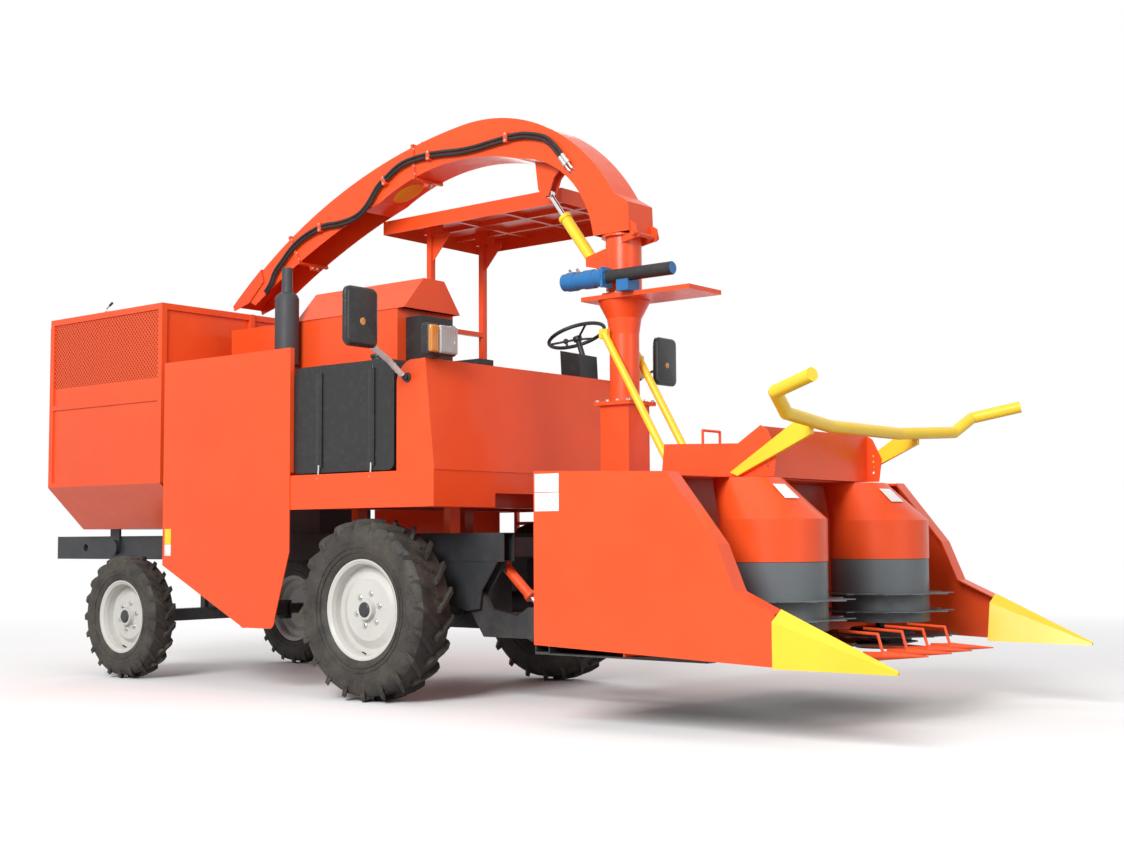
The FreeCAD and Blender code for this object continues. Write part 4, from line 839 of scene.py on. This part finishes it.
@dataclass
class Seat:
    """The driver's seat: a crowned cushion, a backrest and a pedestal."""

    crown: float = 0.30
    pull: float = 0.05
    seam_at: float = 0.45
    seam_deep: float = 0.007

    def _pad(self, name: str, low: Vector, high: Vector, crown: int, palette: Palette,
             ) -> bpy.types.Object:
        """Makes one crowned pad.

        Args:
            name: the piece's name.
            low: its lowest corner.
            high: its highest corner.
            crown: the axis that the pad bulges along, 0 or 2.
            palette: the finishes.

        Returns:
            The pad.
        """
        pad = Builder(name, palette.vinyl)
        pad.block(low, high, 0.0)
        bmesh.ops.subdivide_edges(pad.bm, edges=pad.bm.edges[:], cuts=7, use_grid_fill=True)
        middle = (Vector(low) + Vector(high)) / 2
        span = (Vector(high) - Vector(low)) / 2
        across = [k for k in range(3) if k != crown]
        for v in pad.bm.verts:
            u = [(v.co[k] - middle[k]) / span[k] for k in range(3)]
            near, far = abs(u[across[0]]), abs(u[across[1]])
            pull = self.pull * (1 - far ** 2) * (1 if near > 0.99 else 0)
            v.co[crown] = middle[crown] + span[crown] * u[crown] * (
                1.0 - self.crown * max(near, far) ** 5)
            v.co[across[0]] = middle[across[0]] + span[across[0]] * u[across[0]] * (1 - pull)
            if abs(far - self.seam_at) < 0.08 and abs(u[crown]) > 0.9:
                v.co[crown] -= self.seam_deep * (1 if u[crown] > 0 else -1)
        piece = pad.finish("chassis", "seat_vinyl", True, 60)
        soft = piece.modifiers.new("soft", "SUBSURF")
        soft.levels = 2
        soft.render_levels = 2
        return piece

    def build(self, palette: Palette) -> None:
        """Makes the seat in the room of its CAD solid."""
        low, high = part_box("driver_seat")
        low, high = Vector(low), Vector(high)
        cushion = self._pad("seat_cushion", Vector((low.x + 0.09, low.y, low.z + 0.30)),
                            Vector((high.x, high.y, low.z + 0.40)), 2, palette)
        back = self._pad("seat_back", Vector((low.x, low.y + 0.01, low.z + 0.36)),
                         Vector((low.x + 0.10, high.y - 0.01, high.z)), 0, palette)
        base = Builder("seat_base", palette.chassis)
        mid = (low.y + high.y) / 2
        base.block((low.x + 0.14, mid - 0.13, low.z), (high.x - 0.06, mid + 0.13, low.z + 0.02),
                   0.004)
        base.block((low.x + 0.17, mid - 0.10, low.z + 0.02),
                   (high.x - 0.10, mid + 0.10, low.z + 0.27), 0.01)
        for k in range(5):
            z = low.z + 0.05 + 0.04 * k
            base.block((low.x + 0.16, mid - 0.115, z), (high.x - 0.09, mid + 0.115, z + 0.02),
                       0.008)
        base.block((low.x + 0.10, mid - 0.19, low.z + 0.27),
                   (high.x - 0.03, mid + 0.19, low.z + 0.302), 0.006)
        base.tube([Vector((low.x + 0.12, mid, low.z + 0.29)),
                   Vector((low.x + 0.06, mid, low.z + 0.31)),
                   Vector((low.x + 0.055, mid, low.z + 0.42))], 0.016)
        base_piece = base.finish("chassis", "seat_vinyl")
        for piece in (cushion, back, base_piece):
            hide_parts("driver_seat")


@dataclass
class Tank:
    """Straps, hooks and the filler of the fuel tank."""

    strap: float = 0.055
    foot: float = 1.450
    strap_shares: Sequence[float] = (0.27, 0.79)

    def build(self, palette: Palette) -> None:
        """Makes the straps, the hooks and the filler."""
        low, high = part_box("fuel_tank")
        low, high = Vector(low), Vector(high)
        z0 = self.foot
        straps = Builder("tank_straps", palette.gloss_black)
        hooks = Builder("tank_hooks", palette.zinc)
        for share in self.strap_shares:
            x = low.x + (high.x - low.x) * share
            w = self.strap / 2
            straps.block((x - w, low.y - 0.009, z0 + 0.03), (x + w, low.y + 0.002, high.z - 0.05),
                         0.003)
            straps.block((x - w, low.y + 0.02, high.z - 0.001), (x + w, high.y - 0.02,
                                                                 high.z + 0.005), 0.0015)
            straps.tube([Vector((x, low.y - 0.001, high.z - 0.052)),
                         Vector((x, low.y + 0.006, high.z - 0.02)),
                         Vector((x, low.y + 0.03, high.z + 0.002))], 0.006, 8)
            hooks.tube([Vector((x, low.y - 0.008, z0 + 0.05)),
                        Vector((x, low.y - 0.012, z0 - 0.03)),
                        Vector((x, low.y - 0.010, z0 - 0.06))], 0.006, 10)
            hooks.hexagon(Vector((x, low.y - 0.011, z0 - 0.035)), -UP, 0.022, 0.014)
        straps.finish("chassis", "black_plastic")
        hooks.finish("chassis", "rod_chrome")
        cap = Builder("tank_filler", palette.black)
        cap.turned([(0.045, 0.0), (0.045, 0.03), (0.052, 0.034), (0.052, 0.05), (0.03, 0.056),
                     (0, 0.056)], Vector(((low.x + high.x) / 2 + 0.2, (low.y + high.y) / 2,
                                          high.z)), UP, 32)
        cap.finish("chassis", "black_plastic")


@dataclass
class Lamps:
    """Headlamps with a clear lens and an amber corner."""

    @staticmethod
    def _span(side: Side, outer: float, first: float, last: float) -> Sequence[float]:
        """Returns both ends of a span in Y, given as metres in from the outer end."""
        return sorted(side.value * (outer - inset) for inset in (first, last))

    def build(self, palette: Palette) -> None:
        """Makes both lamps in the room of their CAD solids."""
        low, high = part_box("headlamps")
        low, high = Vector(low), Vector(high)
        for side in Side:
            z0 = low.z + 0.012
            x1 = high.x
            shell = Builder("lamp_shell_" + side.word, palette.black)
            lo, hi = self._span(side, high.y, 0.0, 0.25)
            shell.block((x1 - 0.095, lo, z0), (x1 - 0.020, hi, high.z), 0.022, 4)
            lo, hi = self._span(side, high.y, 0.10, 0.15)
            shell.block((low.x, lo, low.z), (low.x + 0.064, hi, low.z + 0.014), 0.002)
            made = shell.finish("chassis", "lamp_lens")
            glass = Builder("lamp_glass_" + side.word, palette.clear)
            lo, hi = self._span(side, high.y, 0.082, 0.242)
            glass.block((x1 - 0.030, lo, z0 + 0.010), (x1 - 0.003, hi, high.z - 0.010), 0.014, 4)
            glass.finish("chassis", "lamp_lens")
            bowl = Builder("lamp_bowl_" + side.word, palette.reflector)
            mid = (lo + hi) / 2
            bowl.turned([(0.062, 0.016), (0.05, 0.004), (0.02, -0.004), (0, -0.005)],
                        Vector((x1 - 0.026, mid, (z0 + high.z) / 2)), FORE, 32)
            bowl.finish("chassis", "lamp_lens")
            corner = Builder("lamp_corner_" + side.word, palette.amber)
            lo, hi = self._span(side, high.y, 0.004, 0.078)
            corner.block((x1 - 0.080, lo, z0 + 0.012), (x1 - 0.006, hi, high.z - 0.012), 0.014, 4)
            corner.finish("chassis", "lamp_lens")
            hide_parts("headlamps")


@dataclass
class Mirrors:
    """Rear-view mirrors on bent arms with a wrapped sleeve."""

    def build(self, palette: Palette) -> None:
        """Makes both mirrors in the room of their CAD solids."""
        low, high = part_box("mirrors")
        low, high = Vector(low), Vector(high)
        for side in Side:
            s = side.value
            far = high.y
            near = far - 0.30
            head = Builder("mirror_head_" + side.word, palette.gloss_black)
            y0, y1 = sorted((s * near, s * far))
            x1 = high.x - 0.012
            head.shell((x1 - 0.048, y0 + 0.02, low.z + 0.02), (x1, y1 - 0.02, high.z), 0.045,
                       0.014)
            made = head.finish("chassis", "black_plastic")
            glass = Builder("mirror_glass_" + side.word, palette.reflector)
            glass.shell((x1 - 0.0495, y0 + 0.035, low.z + 0.038), (x1 - 0.044, y1 - 0.035,
                                                                 high.z - 0.016), 0.034, 0.001)
            glass.finish("chassis", "black_plastic")
            spot = Builder("mirror_mark_" + side.word, palette.amber)
            spot.turned([(0.022, -0.004), (0.022, 0.001), (0.012, 0.0025), (0, 0.003)],
                        Vector((x1 + 0.0005, (y0 + y1) / 2, low.z + 0.17)), FORE, 24)
            spot.finish("chassis", "lamp_lens")
            base = at(0.433, s * 1.0355, 2.014)
            bends = [base + Vector((0, s * 0.02, 0)), base + Vector((0.0, s * 0.05, 0.012)),
                     base + Vector((0.002, s * 0.16, 0.088)),
                     base + Vector((0.006, s * 0.31, 0.165)),
                     base + Vector((0.060, s * 0.42, 0.235)),
                     Vector((x1 - 0.030, s * (near + 0.12), low.z + 0.16))]
            arm = Builder("mirror_arm_" + side.word, palette.black)
            arm.turned([(0.030, 0.0), (0.030, 0.006), (0.020, 0.010), (0.022, 0.026),
                        (0.014, 0.038), (0, 0.040)], base, Vector((0, s, 0)), 24)
            arm.tube(bends, 0.009)
            arm.finish("chassis", "black_plastic")
            wrap = Builder("mirror_wrap_" + side.word, palette.wrap)
            path = [bends[1 + leg].lerp(bends[2 + leg], k / 12)
                    for leg in (0, 1) for k in range(leg, 13)]
            wrap.tube(path, 0.019, 10)
            for v in wrap.bm.verts:
                v.co += Vector((math.sin(v.co.y * 190) * 0.0022, 0,
                                math.cos(v.co.y * 230 + v.co.x * 90) * 0.0026))
            wrap.finish("chassis", "black_plastic", True, 80)
            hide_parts("mirrors")


# --- header, bin and trim -----------------------------------------------------------------


@dataclass
class Trim:
    """Small fasteners, blank plates, the bin's latch and its perforated sheet."""

    header_side: float = -1.319
    drum_out: float = 0.60
    column_ahead: float = 1.33

    def plates(self, palette: Palette) -> None:
        """Makes the blank plates."""
        near = self.header_side
        for k, (x, z) in enumerate(((1.785, 1.318), (1.785, 1.214))):
            low = at(x - 0.085, near - 0.0022, z - 0.050)
            high = at(x + 0.085, near - 0.0002, z + 0.050)
            Builder("label_plate_%d" % (k + 1), palette.plate).block(low, high, 0.0008).finish(
                "header", "body_red")
        for name, low, high, finish in (("label_plate_3", 0.91, 0.990, palette.plate),
                                        ("label_plate_4", 0.992, 1.10, palette.yellow)):
            Builder(name, finish).block(at(-1.995, -1.0436, low), at(-1.925, -1.0414, high),
                                        0.0008).finish("chassis", "body_red")
        for side in Side:
            plate = Builder("cover_plate_" + side.word, palette.plate)
            y = self.drum_out * side.value
            steps = 8
            rows = []
            for z, x, r in ((1.222, 2.693, 0.2430), (1.300, 2.637, 0.2090)):
                rows.append([plate.bm.verts.new(at(x, y, z) + Vector((
                    math.cos(a) * (r + 0.0075), math.sin(a) * (r + 0.0075), 0)))
                    for a in (-0.05 - 0.42 * k / steps for k in range(steps + 1))])
            for k in range(steps):
                plate.bm.faces.new((rows[0][k], rows[0][k + 1], rows[1][k + 1], rows[1][k]))
            plate.finish("header", "body_red")

    def latch(self, palette: Palette) -> None:
        """Makes the small toggle latch on the bin's top rail, with its grip."""
        made = Builder("bin_latch", palette.zinc)
        foot = at(-2.779, -1.012, 2.7402)
        made.block(foot + Vector((-0.03, -0.012, 0.0)), foot + Vector((0.03, 0.012, 0.006)), 0.001)
        made.tube([foot + Vector((-0.015, 0, 0.004)), foot + Vector((-0.010, 0, 0.030)),
                   foot + Vector((0.030, 0, 0.050))], 0.006, 10)
        made.finish("chassis", "body_red")
        grip = Builder("bin_latch_grip", palette.black)
        grip.tube([foot + Vector((0.024, 0, 0.047)), foot + Vector((0.058, 0, 0.064))], 0.009, 12)
        grip.finish("chassis", "black_plastic")

    def bin_sheet(self, palette: Palette) -> None:
        """Makes the perforated upper sheets of the load bin."""
        for side in Side:
            sheet = Builder("bin_mesh_" + side.word, palette.mesh)
            y = 1.0185 * side.value
            y0, y1 = sorted((y, y + 0.0008 * side.value))
            sheet.block(at(-3.462, y0, 2.20), at(-2.123, y1, 2.692))
            sheet.finish("chassis", "body_red", False)

    def bolts(self, palette: Palette) -> None:
        """Makes the rows of bolt heads."""
        column = Builder("column_bolts", palette.zinc)
        for a in (-0.12, -0.04, 0.04, 0.12):
            for b in (-0.13, 0.13):
                for dx, dy in ((a, b), (b, a)):
                    column.hexagon(at(self.column_ahead + dx, dy, 1.872), UP, 0.022, 0.012)
        column.finish("header", "body_red")
        ring = Builder("turret_bolts", palette.zinc)
        for k in range(12):
            t = 2 * math.pi * (k + 0.5) / 12
            ring.hexagon(at(self.column_ahead + 0.130 * math.cos(t), 0.130 * math.sin(t), 2.556),
                         UP, 0.018, 0.010)
        ring.finish("turret", "body_red")


# --- spout and hoses ----------------------------------------------------------------------


@dataclass
class SpoutTrim:
    """The spout's hoses, collars, tip hood and service cover, and the slewing motor's trim."""

    wall: float = 0.130
    hose_out: float = 0.1563
    hose_radius: float = 0.011
    clips: Sequence[Point] = ((0.473, 3.690, 0.02), (-0.247, 3.687, 0.0),
                              (-0.690, 3.575, 0.5), (-1.367, 3.330, 0.12))
    collars: Sequence[Tuple[Point, Point]] = (
        ((-0.423, 0.0, 3.782), (-0.405, 0.0, 3.561)),
        ((-1.720, 0.0, 3.296), (-1.620, 0.0, 3.101)))
    run: Sequence[Tuple[float, float]] = (
        (1.003, 3.437), (0.859, 3.620), (0.742, 3.668), (0.577, 3.703), (0.378, 3.690),
        (0.100, 3.672), (-0.168, 3.700), (-0.380, 3.700), (-0.541, 3.676), (-0.663, 3.608),
        (-0.768, 3.549), (-0.857, 3.436), (-0.965, 3.363), (-1.149, 3.338), (-1.336, 3.350),
        (-1.566, 3.290), (-1.702, 3.215), (-1.800, 3.130), (-1.889, 3.058), (-1.930, 2.970),
        (-1.990, 2.915))
    arch_radius: float = 4.470
    arch_centre: Tuple[float, float] = (0.480095, -0.595282)
    flap_from: float = 2.056
    flap_to: float = 2.390
    flap_gap: float = 0.0055

    def hoses(self, palette: Palette) -> None:
        """Makes the two hoses that lie along the arch, rounded by cutting their corners."""
        lines = Builder("arch_hose_lines", palette.hose)
        for gap in (0.0, 0.026):
            spots = []
            for k, (x, z) in enumerate(self.run):
                back = self.run[max(k - 1, 0)]
                ahead = self.run[min(k + 1, len(self.run) - 1)]
                way = Vector((ahead[0] - back[0], 0.0, ahead[1] - back[1])).normalized()
                spots.append(at(x, -self.hose_out, z) + Vector((-way.z, 0.0, way.x)) * gap)
            for _ in range(3):
                cut = [spots[0]]
                for a, b in zip(spots, spots[1:]):
                    cut += [a.lerp(b, 0.25), a.lerp(b, 0.75)]
                spots = cut + [spots[-1]]
            lines.tube(spots, self.hose_radius, 14)
        lines.finish("spout", "black_plastic")

    def flanges(self, palette: Palette) -> None:
        """Makes the two bolted collars round the arch, each with a lug above and below."""
        made = Builder("arch_collars", palette.red)
        for top, foot in self.collars:
            a, b = at(*top), at(*foot)
            up = (a - b).normalized()
            middle = (a + b) / 2
            half = (a - b).length / 2
            for side in Side:
                made.slab(middle + Vector((0, side.value * (self.wall + 0.0077), 0)), up,
                          (half + 0.015, 0.0075, 0.011), 0.001)
            for spot, way in ((a, 1.0), (b, -1.0)):
                made.slab(spot + up * (0.0081 * way), up, (0.0075, 0.145, 0.011), 0.001)
                made.slab(spot + up * (0.028 * way), up, (0.027, 0.040, 0.007), 0.002)
        made.finish("spout", "body_red")

    def over_arch(self, behind: float, beyond: float) -> Vector:
        """Returns the point this far beyond the arch's upper side."""
        radius = self.arch_radius + beyond
        x = -behind
        across = x - self.arch_centre[0]
        return at(x, 0.0, math.sqrt(radius ** 2 - across ** 2) + self.arch_centre[1])

    def flap(self, palette: Palette) -> None:
        """Makes the hood sheet over the arch's tip, with its cheeks, straps and pin."""
        made = Builder("spout_tip_hood", palette.red)
        wide = self.wall + self.flap_gap
        steps = 12
        rows = []
        for k in range(steps + 1):
            behind = self.flap_from + (self.flap_to - self.flap_from) * k / steps
            low = self.over_arch(behind, self.flap_gap)
            high = self.over_arch(behind, self.flap_gap + 0.004)
            rows.append([made.bm.verts.new(spot + Vector((0, y, 0))) for spot, y in (
                (low, -wide - 0.004), (low, wide + 0.004), (high, wide + 0.004),
                (high, -wide - 0.004))])
        made.bridge(rows)
        edge = [self.over_arch(self.flap_from + (self.flap_to - self.flap_from) * k / steps,
                               self.flap_gap + 0.002) for k in range(steps + 1)]
        edge += [at(-2.375, 0.0, 2.805), at(-2.200, 0.0, 2.850), at(-2.030, 0.0, 3.000)]
        for side in Side:
            faces = [[made.bm.verts.new(spot + Vector((0, side.value * y, 0))) for spot in edge]
                     for y in (wide, wide + 0.004)]
            made.bridge(faces)
        foot = self.over_arch(2.020, 0.0)
        out = (foot - at(self.arch_centre[0], 0.0, self.arch_centre[1])).normalized()
        tipward = Vector((-out.z, 0.0, out.x))
        pin = foot + out * 0.020
        for y in (-0.040, 0.040):
            made.slab(pin + tipward * 0.040 + Vector((0, y, 0)), tipward, (0.040, 0.014, 0.003),
                      0.001)
            made.turned([(0.0136, -0.014), (0.0136, 0.014)], pin + Vector((0, y, 0)),
                        LEFTWARD, 20)
        for y in (-0.060, 0.060):
            made.block(pin + Vector((-0.018, y - 0.004, -0.021)),
                       pin + Vector((0.018, y + 0.004, 0.011)), 0.001)
        made.finish("spout", "body_red")

    def clamp(self, palette: Palette) -> None:
        """Makes the saddle clips that hold the hoses to the arch."""
        clips = Builder("hose_clips", palette.red)
        screws = Builder("hose_clip_screws", palette.zinc)
        for x, z, slope in self.clips:
            way = Vector((1.0, 0.0, slope))
            y = (self.hose_out + 0.013 + self.wall) / 2
            clips.slab(at(x, -y, z), way, (0.017, (self.hose_out + 0.013 - self.wall) / 2, 0.034),
                       0.005)
            for lift in (-0.022, 0.022):
                spot = at(x, -self.hose_out - 0.013, z + lift)
                screws.hexagon(spot, -LEFTWARD, 0.011, 0.005)
        clips.finish("spout", "body_red")
        screws.finish("spout", "rod_chrome")

    def fittings(self, palette: Palette) -> None:
        """Makes the crimped ends of the hoses on the arch."""
        ends = Builder("arch_hose_fittings", palette.zinc)
        first = at(1.003, -self.hose_out, 3.437)
        way = (at(0.859, -self.hose_out, 3.620) - first).normalized()
        side = Vector((-way.z, 0.0, way.x)) * 0.026
        for spot in (first, first + side):
            ends.turned([(0.0114, 0.075), (0.0145, 0.072), (0.0145, 0.020), (0.0175, 0.018),
                         (0.0175, -0.006), (0.009, -0.008), (0.009, -0.030), (0, -0.030)],
                        spot, way, 20)
            knee = spot - way * 0.028
            ends.tube([knee, knee + Vector((0.012, 0.006, -0.018)),
                       knee + Vector((0.014, 0.030, -0.028))], 0.0085, 12)
        ends.finish("spout", "rod_chrome")

    def bolts(self, palette: Palette) -> None:
        """Makes the bolts of the collars and of their lugs."""
        heads = Builder("collar_bolts", palette.zinc)
        for top, foot in self.collars:
            a, b = at(*top), at(*foot)
            up = (a - b).normalized()
            along = Vector((up.z, 0.0, -up.x))
            for side in Side:
                y = Vector((0.0, side.value * 0.1378, 0.0))
                for share in (0.10, 0.36, 0.64, 0.90):
                    heads.hexagon(b + (a - b) * share + y + along * 0.011, along, 0.012, 0.008)
            for lug in (a + up * 0.038, b - up * 0.038):
                for y in (-0.022, 0.022):
                    spot = lug + Vector((0, y, 0)) + along * 0.007
                    heads.hexagon(spot, along, 0.016, 0.010)
        heads.finish("spout", "rod_chrome")

    def cover(self, palette: Palette) -> None:
        """Makes the oval service cover under the arch."""
        oval = Builder("arch_service_cover", palette.amber_paint)
        centre = at(-0.600, 0.0, 3.4985)
        along = Vector((1.0, 0.0, 0.385)).normalized()
        down = Vector((0.385, 0.0, -1.0)).normalized()
        rows = []
        for reach, drop in ((1.0, -0.001), (1.0, 0.003), (0.93, 0.005), (0.0, 0.006)):
            ring = []
            for k in range(40 if reach > 0 else 1):
                t = 2 * math.pi * k / 40
                ring.append(oval.bm.verts.new(
                    centre + along * (0.135 * reach * math.cos(t))
                    + Vector((0, 0.085 * reach * math.sin(t), 0)) + down * drop))
            rows.append(ring)
        for a, b in zip(rows, rows[1:]):
            for k in range(40):
                j = (k + 1) % 40
                if len(b) == 1:
                    oval.bm.faces.new((a[k], a[j], b[0]))
                else:
                    oval.bm.faces.new((a[k], a[j], b[j], b[k]))
        oval.finish("spout", "safety_yellow")

    def motor(self, palette: Palette) -> None:
        """Makes the ribs, bolts and ports of the slewing motor and the sleeve of its worm."""
        ribs = Builder("slew_motor_ribs", palette.blue)
        back = -FORE
        start = at(1.340, -0.212, 2.640)
        for first, last in ((0.0, 0.034), (0.070, 0.153), (0.215, 0.288)):
            ribs.turned([(0.0552, first), (0.0605, first + 0.004), (0.0605, last - 0.004),
                         (0.0552, last)], start, back, 40)
        ribs.finish("header", "motor_blue")
        sleeve = Builder("slew_worm_sleeve", palette.black)
        sleeve.turned([(0.0362, 0.0), (0.0410, 0.003), (0.0410, 0.487), (0.0365, 0.492),
                       (0, 0.492)], at(1.3665, -0.212, 2.640), FORE, 40)
        sleeve.finish("header", "black_plastic")
        bolts = Builder("slew_motor_bolts", palette.zinc)
        for k in range(4):
            t = math.pi / 4 + k * math.pi / 2
            bolts.hexagon(start + Vector((-0.320, math.cos(t) * 0.036, math.sin(t) * 0.036)),
                          back, 0.013, 0.008)
        for share in (0.18, 0.24):
            bolts.turned([(0.013, 0.0), (0.013, 0.014), (0.009, 0.016), (0.009, 0.030),
                          (0, 0.030)], start + Vector((-share, -0.033, 0.044)),
                         Vector((0, -0.6, 0.8)), 6)
        bolts.finish("header", "rod_chrome")

    def build(self, palette: Palette) -> None:
        """Makes every small piece of the spout."""
        self.hoses(palette)
        self.flanges(palette)
        self.flap(palette)
        self.clamp(palette)
        self.fittings(palette)
        self.bolts(palette)
        self.cover(palette)
        self.motor(palette)


# --- dress the CAD nodes ------------------------------------------------------------------


class Coats:
    """Gives every carried-over node its finish."""

    def __init__(self, palette: Palette) -> None:
        """Lists which finish each node takes."""
        self.by_slot = {
            "body_red": palette.red, "safety_yellow": palette.yellow,
            "chassis_grey": palette.chassis, "drum_grey": palette.grey,
            "blade_black": palette.blade, "rod_chrome": palette.chrome,
            "tyre_rubber": palette.tyre, "rim_silver": palette.silver,
            "black_plastic": palette.black, "seat_vinyl": palette.vinyl,
            "lamp_lens": palette.clear, "motor_blue": palette.blue,
            "engine_grey": palette.engine, "exhaust_steel": palette.exhaust,
        }

    def dress(self) -> None:
        """Puts each node's finish in its material slots."""
        for part in frame["record"]["subparts"]:
            shell = frame["nodes"][part["node"]]
            finish = self.by_slot[part["material_slot"]]
            shell.data.materials.clear()
            shell.data.materials.append(finish)
            for polygon in shell.data.polygons:
                polygon.material_index = 0
            LOG.info("dressed %s with %s", part["node"], finish.name)


# --- studio -------------------------------------------------------------------------------


@dataclass
class Studio:
    """The floor, the lamps and the camera."""

    eye: Point = (7.232, -7.682, 1.012)
    azimuth: float = 39.296
    pitch: float = 4.093
    roll: float = -0.322
    lens: float = 48.87
    fade_from: float = 5.5
    fade_to: float = 12.0
    fill: float = 0.48

    def camera(self) -> None:
        """Sets up the camera."""
        az, p, r = (math.radians(a) for a in (self.azimuth, self.pitch, self.roll))
        ahead = Vector((-math.sin(az) * math.cos(p), math.cos(az) * math.cos(p), math.sin(p)))
        right = Vector((math.cos(az), math.sin(az), 0))
        up = right.cross(ahead)
        side = right * math.cos(r) + up * math.sin(r)
        over = up * math.cos(r) - right * math.sin(r)
        data = bpy.data.cameras.new("camera")
        data.lens = self.lens
        data.sensor_width = 36.0
        data.sensor_fit = "HORIZONTAL"
        data.clip_end = 200.0
        shot = bpy.data.objects.new("camera", data)
        turn = Matrix((side, over, -ahead)).transposed()
        shot.matrix_world = Matrix.Translation(Vector(self.eye)) @ turn.to_4x4()
        bpy.context.scene.collection.objects.link(shot)
        bpy.context.scene.camera = shot

    def lamp(self, name: str, spot: Point, target: Point, size: float, power: float) -> None:
        """Adds one soft area lamp.

        Args:
            name: its name.
            spot: where it hangs.
            target: where it points.
            size: its side.
            power: its power in watts.
        """
        data = bpy.data.lights.new(name, "AREA")
        data.shape = "SQUARE"
        data.size = size
        data.energy = power
        made = bpy.data.objects.new(name, data)
        way = (Vector(target) - Vector(spot)).normalized()
        made.matrix_world = Matrix.Translation(Vector(spot)) @ \
            way.to_track_quat("-Z", "Y").to_matrix().to_4x4()
        bpy.context.scene.collection.objects.link(made)

    def world(self) -> None:
        """Sets up the pale surroundings."""
        world = bpy.data.worlds.new("pale_room")
        bpy.context.scene.world = world
        world.use_nodes = True
        sky = Graph(world.node_tree)
        path = sky.node("ShaderNodeLightPath")
        seen = path.outputs["Is Camera Ray"]
        for name in ("Is Glossy Ray", "Is Transmission Ray"):
            seen = sky.node("ShaderNodeMath", {"operation": "MAXIMUM"},
                            {0: seen, 1: path.outputs[name]}).outputs[0]
        soft, white = (sky.node("ShaderNodeBackground", {}, {0: WHITE, 1: strength})
                       for strength in (self.fill, 1.0))
        mix = sky.node("ShaderNodeMixShader", {}, {0: seen, 1: soft.outputs[0],
                                                   2: white.outputs[0]})
        sky.node("ShaderNodeOutputWorld", {}, {0: mix.outputs[0]})

    def floor(self) -> None:
        """Makes the pale floor, which fades to plain white far from the machine."""
        r = Recipe("pale_floor")
        path = r.node("ShaderNodeLightPath")
        seen = [Wave(r, path.outputs[name]) for name in
                ("Is Camera Ray", "Is Glossy Ray", "Is Transmission Ray")]
        seen_at_all = (seen[0] + seen[1] + seen[2]).ramp(0.0, 1.0)
        away = (r.x * r.x + r.y * r.y) ** 0.5
        far = away.ramp(self.fade_from, self.fade_to) * seen_at_all
        r.put(base_color=r.blend((0.42, 0.42, 0.42), (0.93, 0.93, 0.93), seen_at_all),
              roughness=0.9, specular=0.1)
        white = r.node("ShaderNodeEmission", {}, {"Color": WHITE, "Strength": 1.0})
        mixed = r.node("ShaderNodeMixShader", {}, {0: far, 1: r.shader.outputs[0],
                                                   2: white.outputs[0]})
        r.tree.links.new(mixed.outputs[0], r.output.inputs[0])
        mesh = bpy.data.meshes.new("floor")
        size = 60.0
        mesh.from_pydata([(-size, -size, 0), (size, -size, 0), (size, size, 0), (-size, size, 0)],
                         [], [(0, 1, 2, 3)])
        mesh.materials.append(r.material)
        made = bpy.data.objects.new("floor", mesh)
        bpy.context.scene.collection.objects.link(made)

    def build(self) -> None:
        """Sets up the whole studio."""
        bpy.context.scene.view_settings.view_transform = "Standard"
        self.camera()
        self.world()
        self.floor()
        self.lamp("key", (4.0, -13.0, 8.0), (0.0, 0.0, 1.3), 6.0, 2300.0)
        self.lamp("front", (14.0, -1.0, 5.0), (0.5, 0.0, 1.5), 6.0, 300.0)
        self.lamp("top", (0.0, 0.0, 12.0), (0.0, 0.0, 0.0), 9.0, 150.0)
        self.lamp("back", (-9.0, 9.0, 7.0), (0.0, 0.0, 1.5), 6.0, 500.0)


def main() -> None:
    """Builds the studio, the finishes and every piece."""
    logging.basicConfig(level=logging.INFO, format="%(message)s")
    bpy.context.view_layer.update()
    Studio().build()
    palette = Palette()
    Coats(palette).dress()
    for side in Side:
        s = side.value
        Wheel("front_" + side.word, side, at(0.0, 0.89 * s, 0.575), 0.575, 0.300, 0.318, 0.058,
              20, 0.105).build(palette)
        Wheel("rear_" + side.word, side, at(-2.694, 0.838 * s, 0.455), 0.455, 0.200, 0.268,
              0.008, 20, 0.100, hub_out=0.042, depth=0.022).build(palette)
    Seat().build(palette)
    Tank().build(palette)
    Lamps().build(palette)
    Mirrors().build(palette)
    trim = Trim()
    trim.plates(palette)
    trim.bin_sheet(palette)
    trim.latch(palette)
    trim.bolts(palette)
    SpoutTrim().build(palette)


if __name__ == "__main__":
    main()
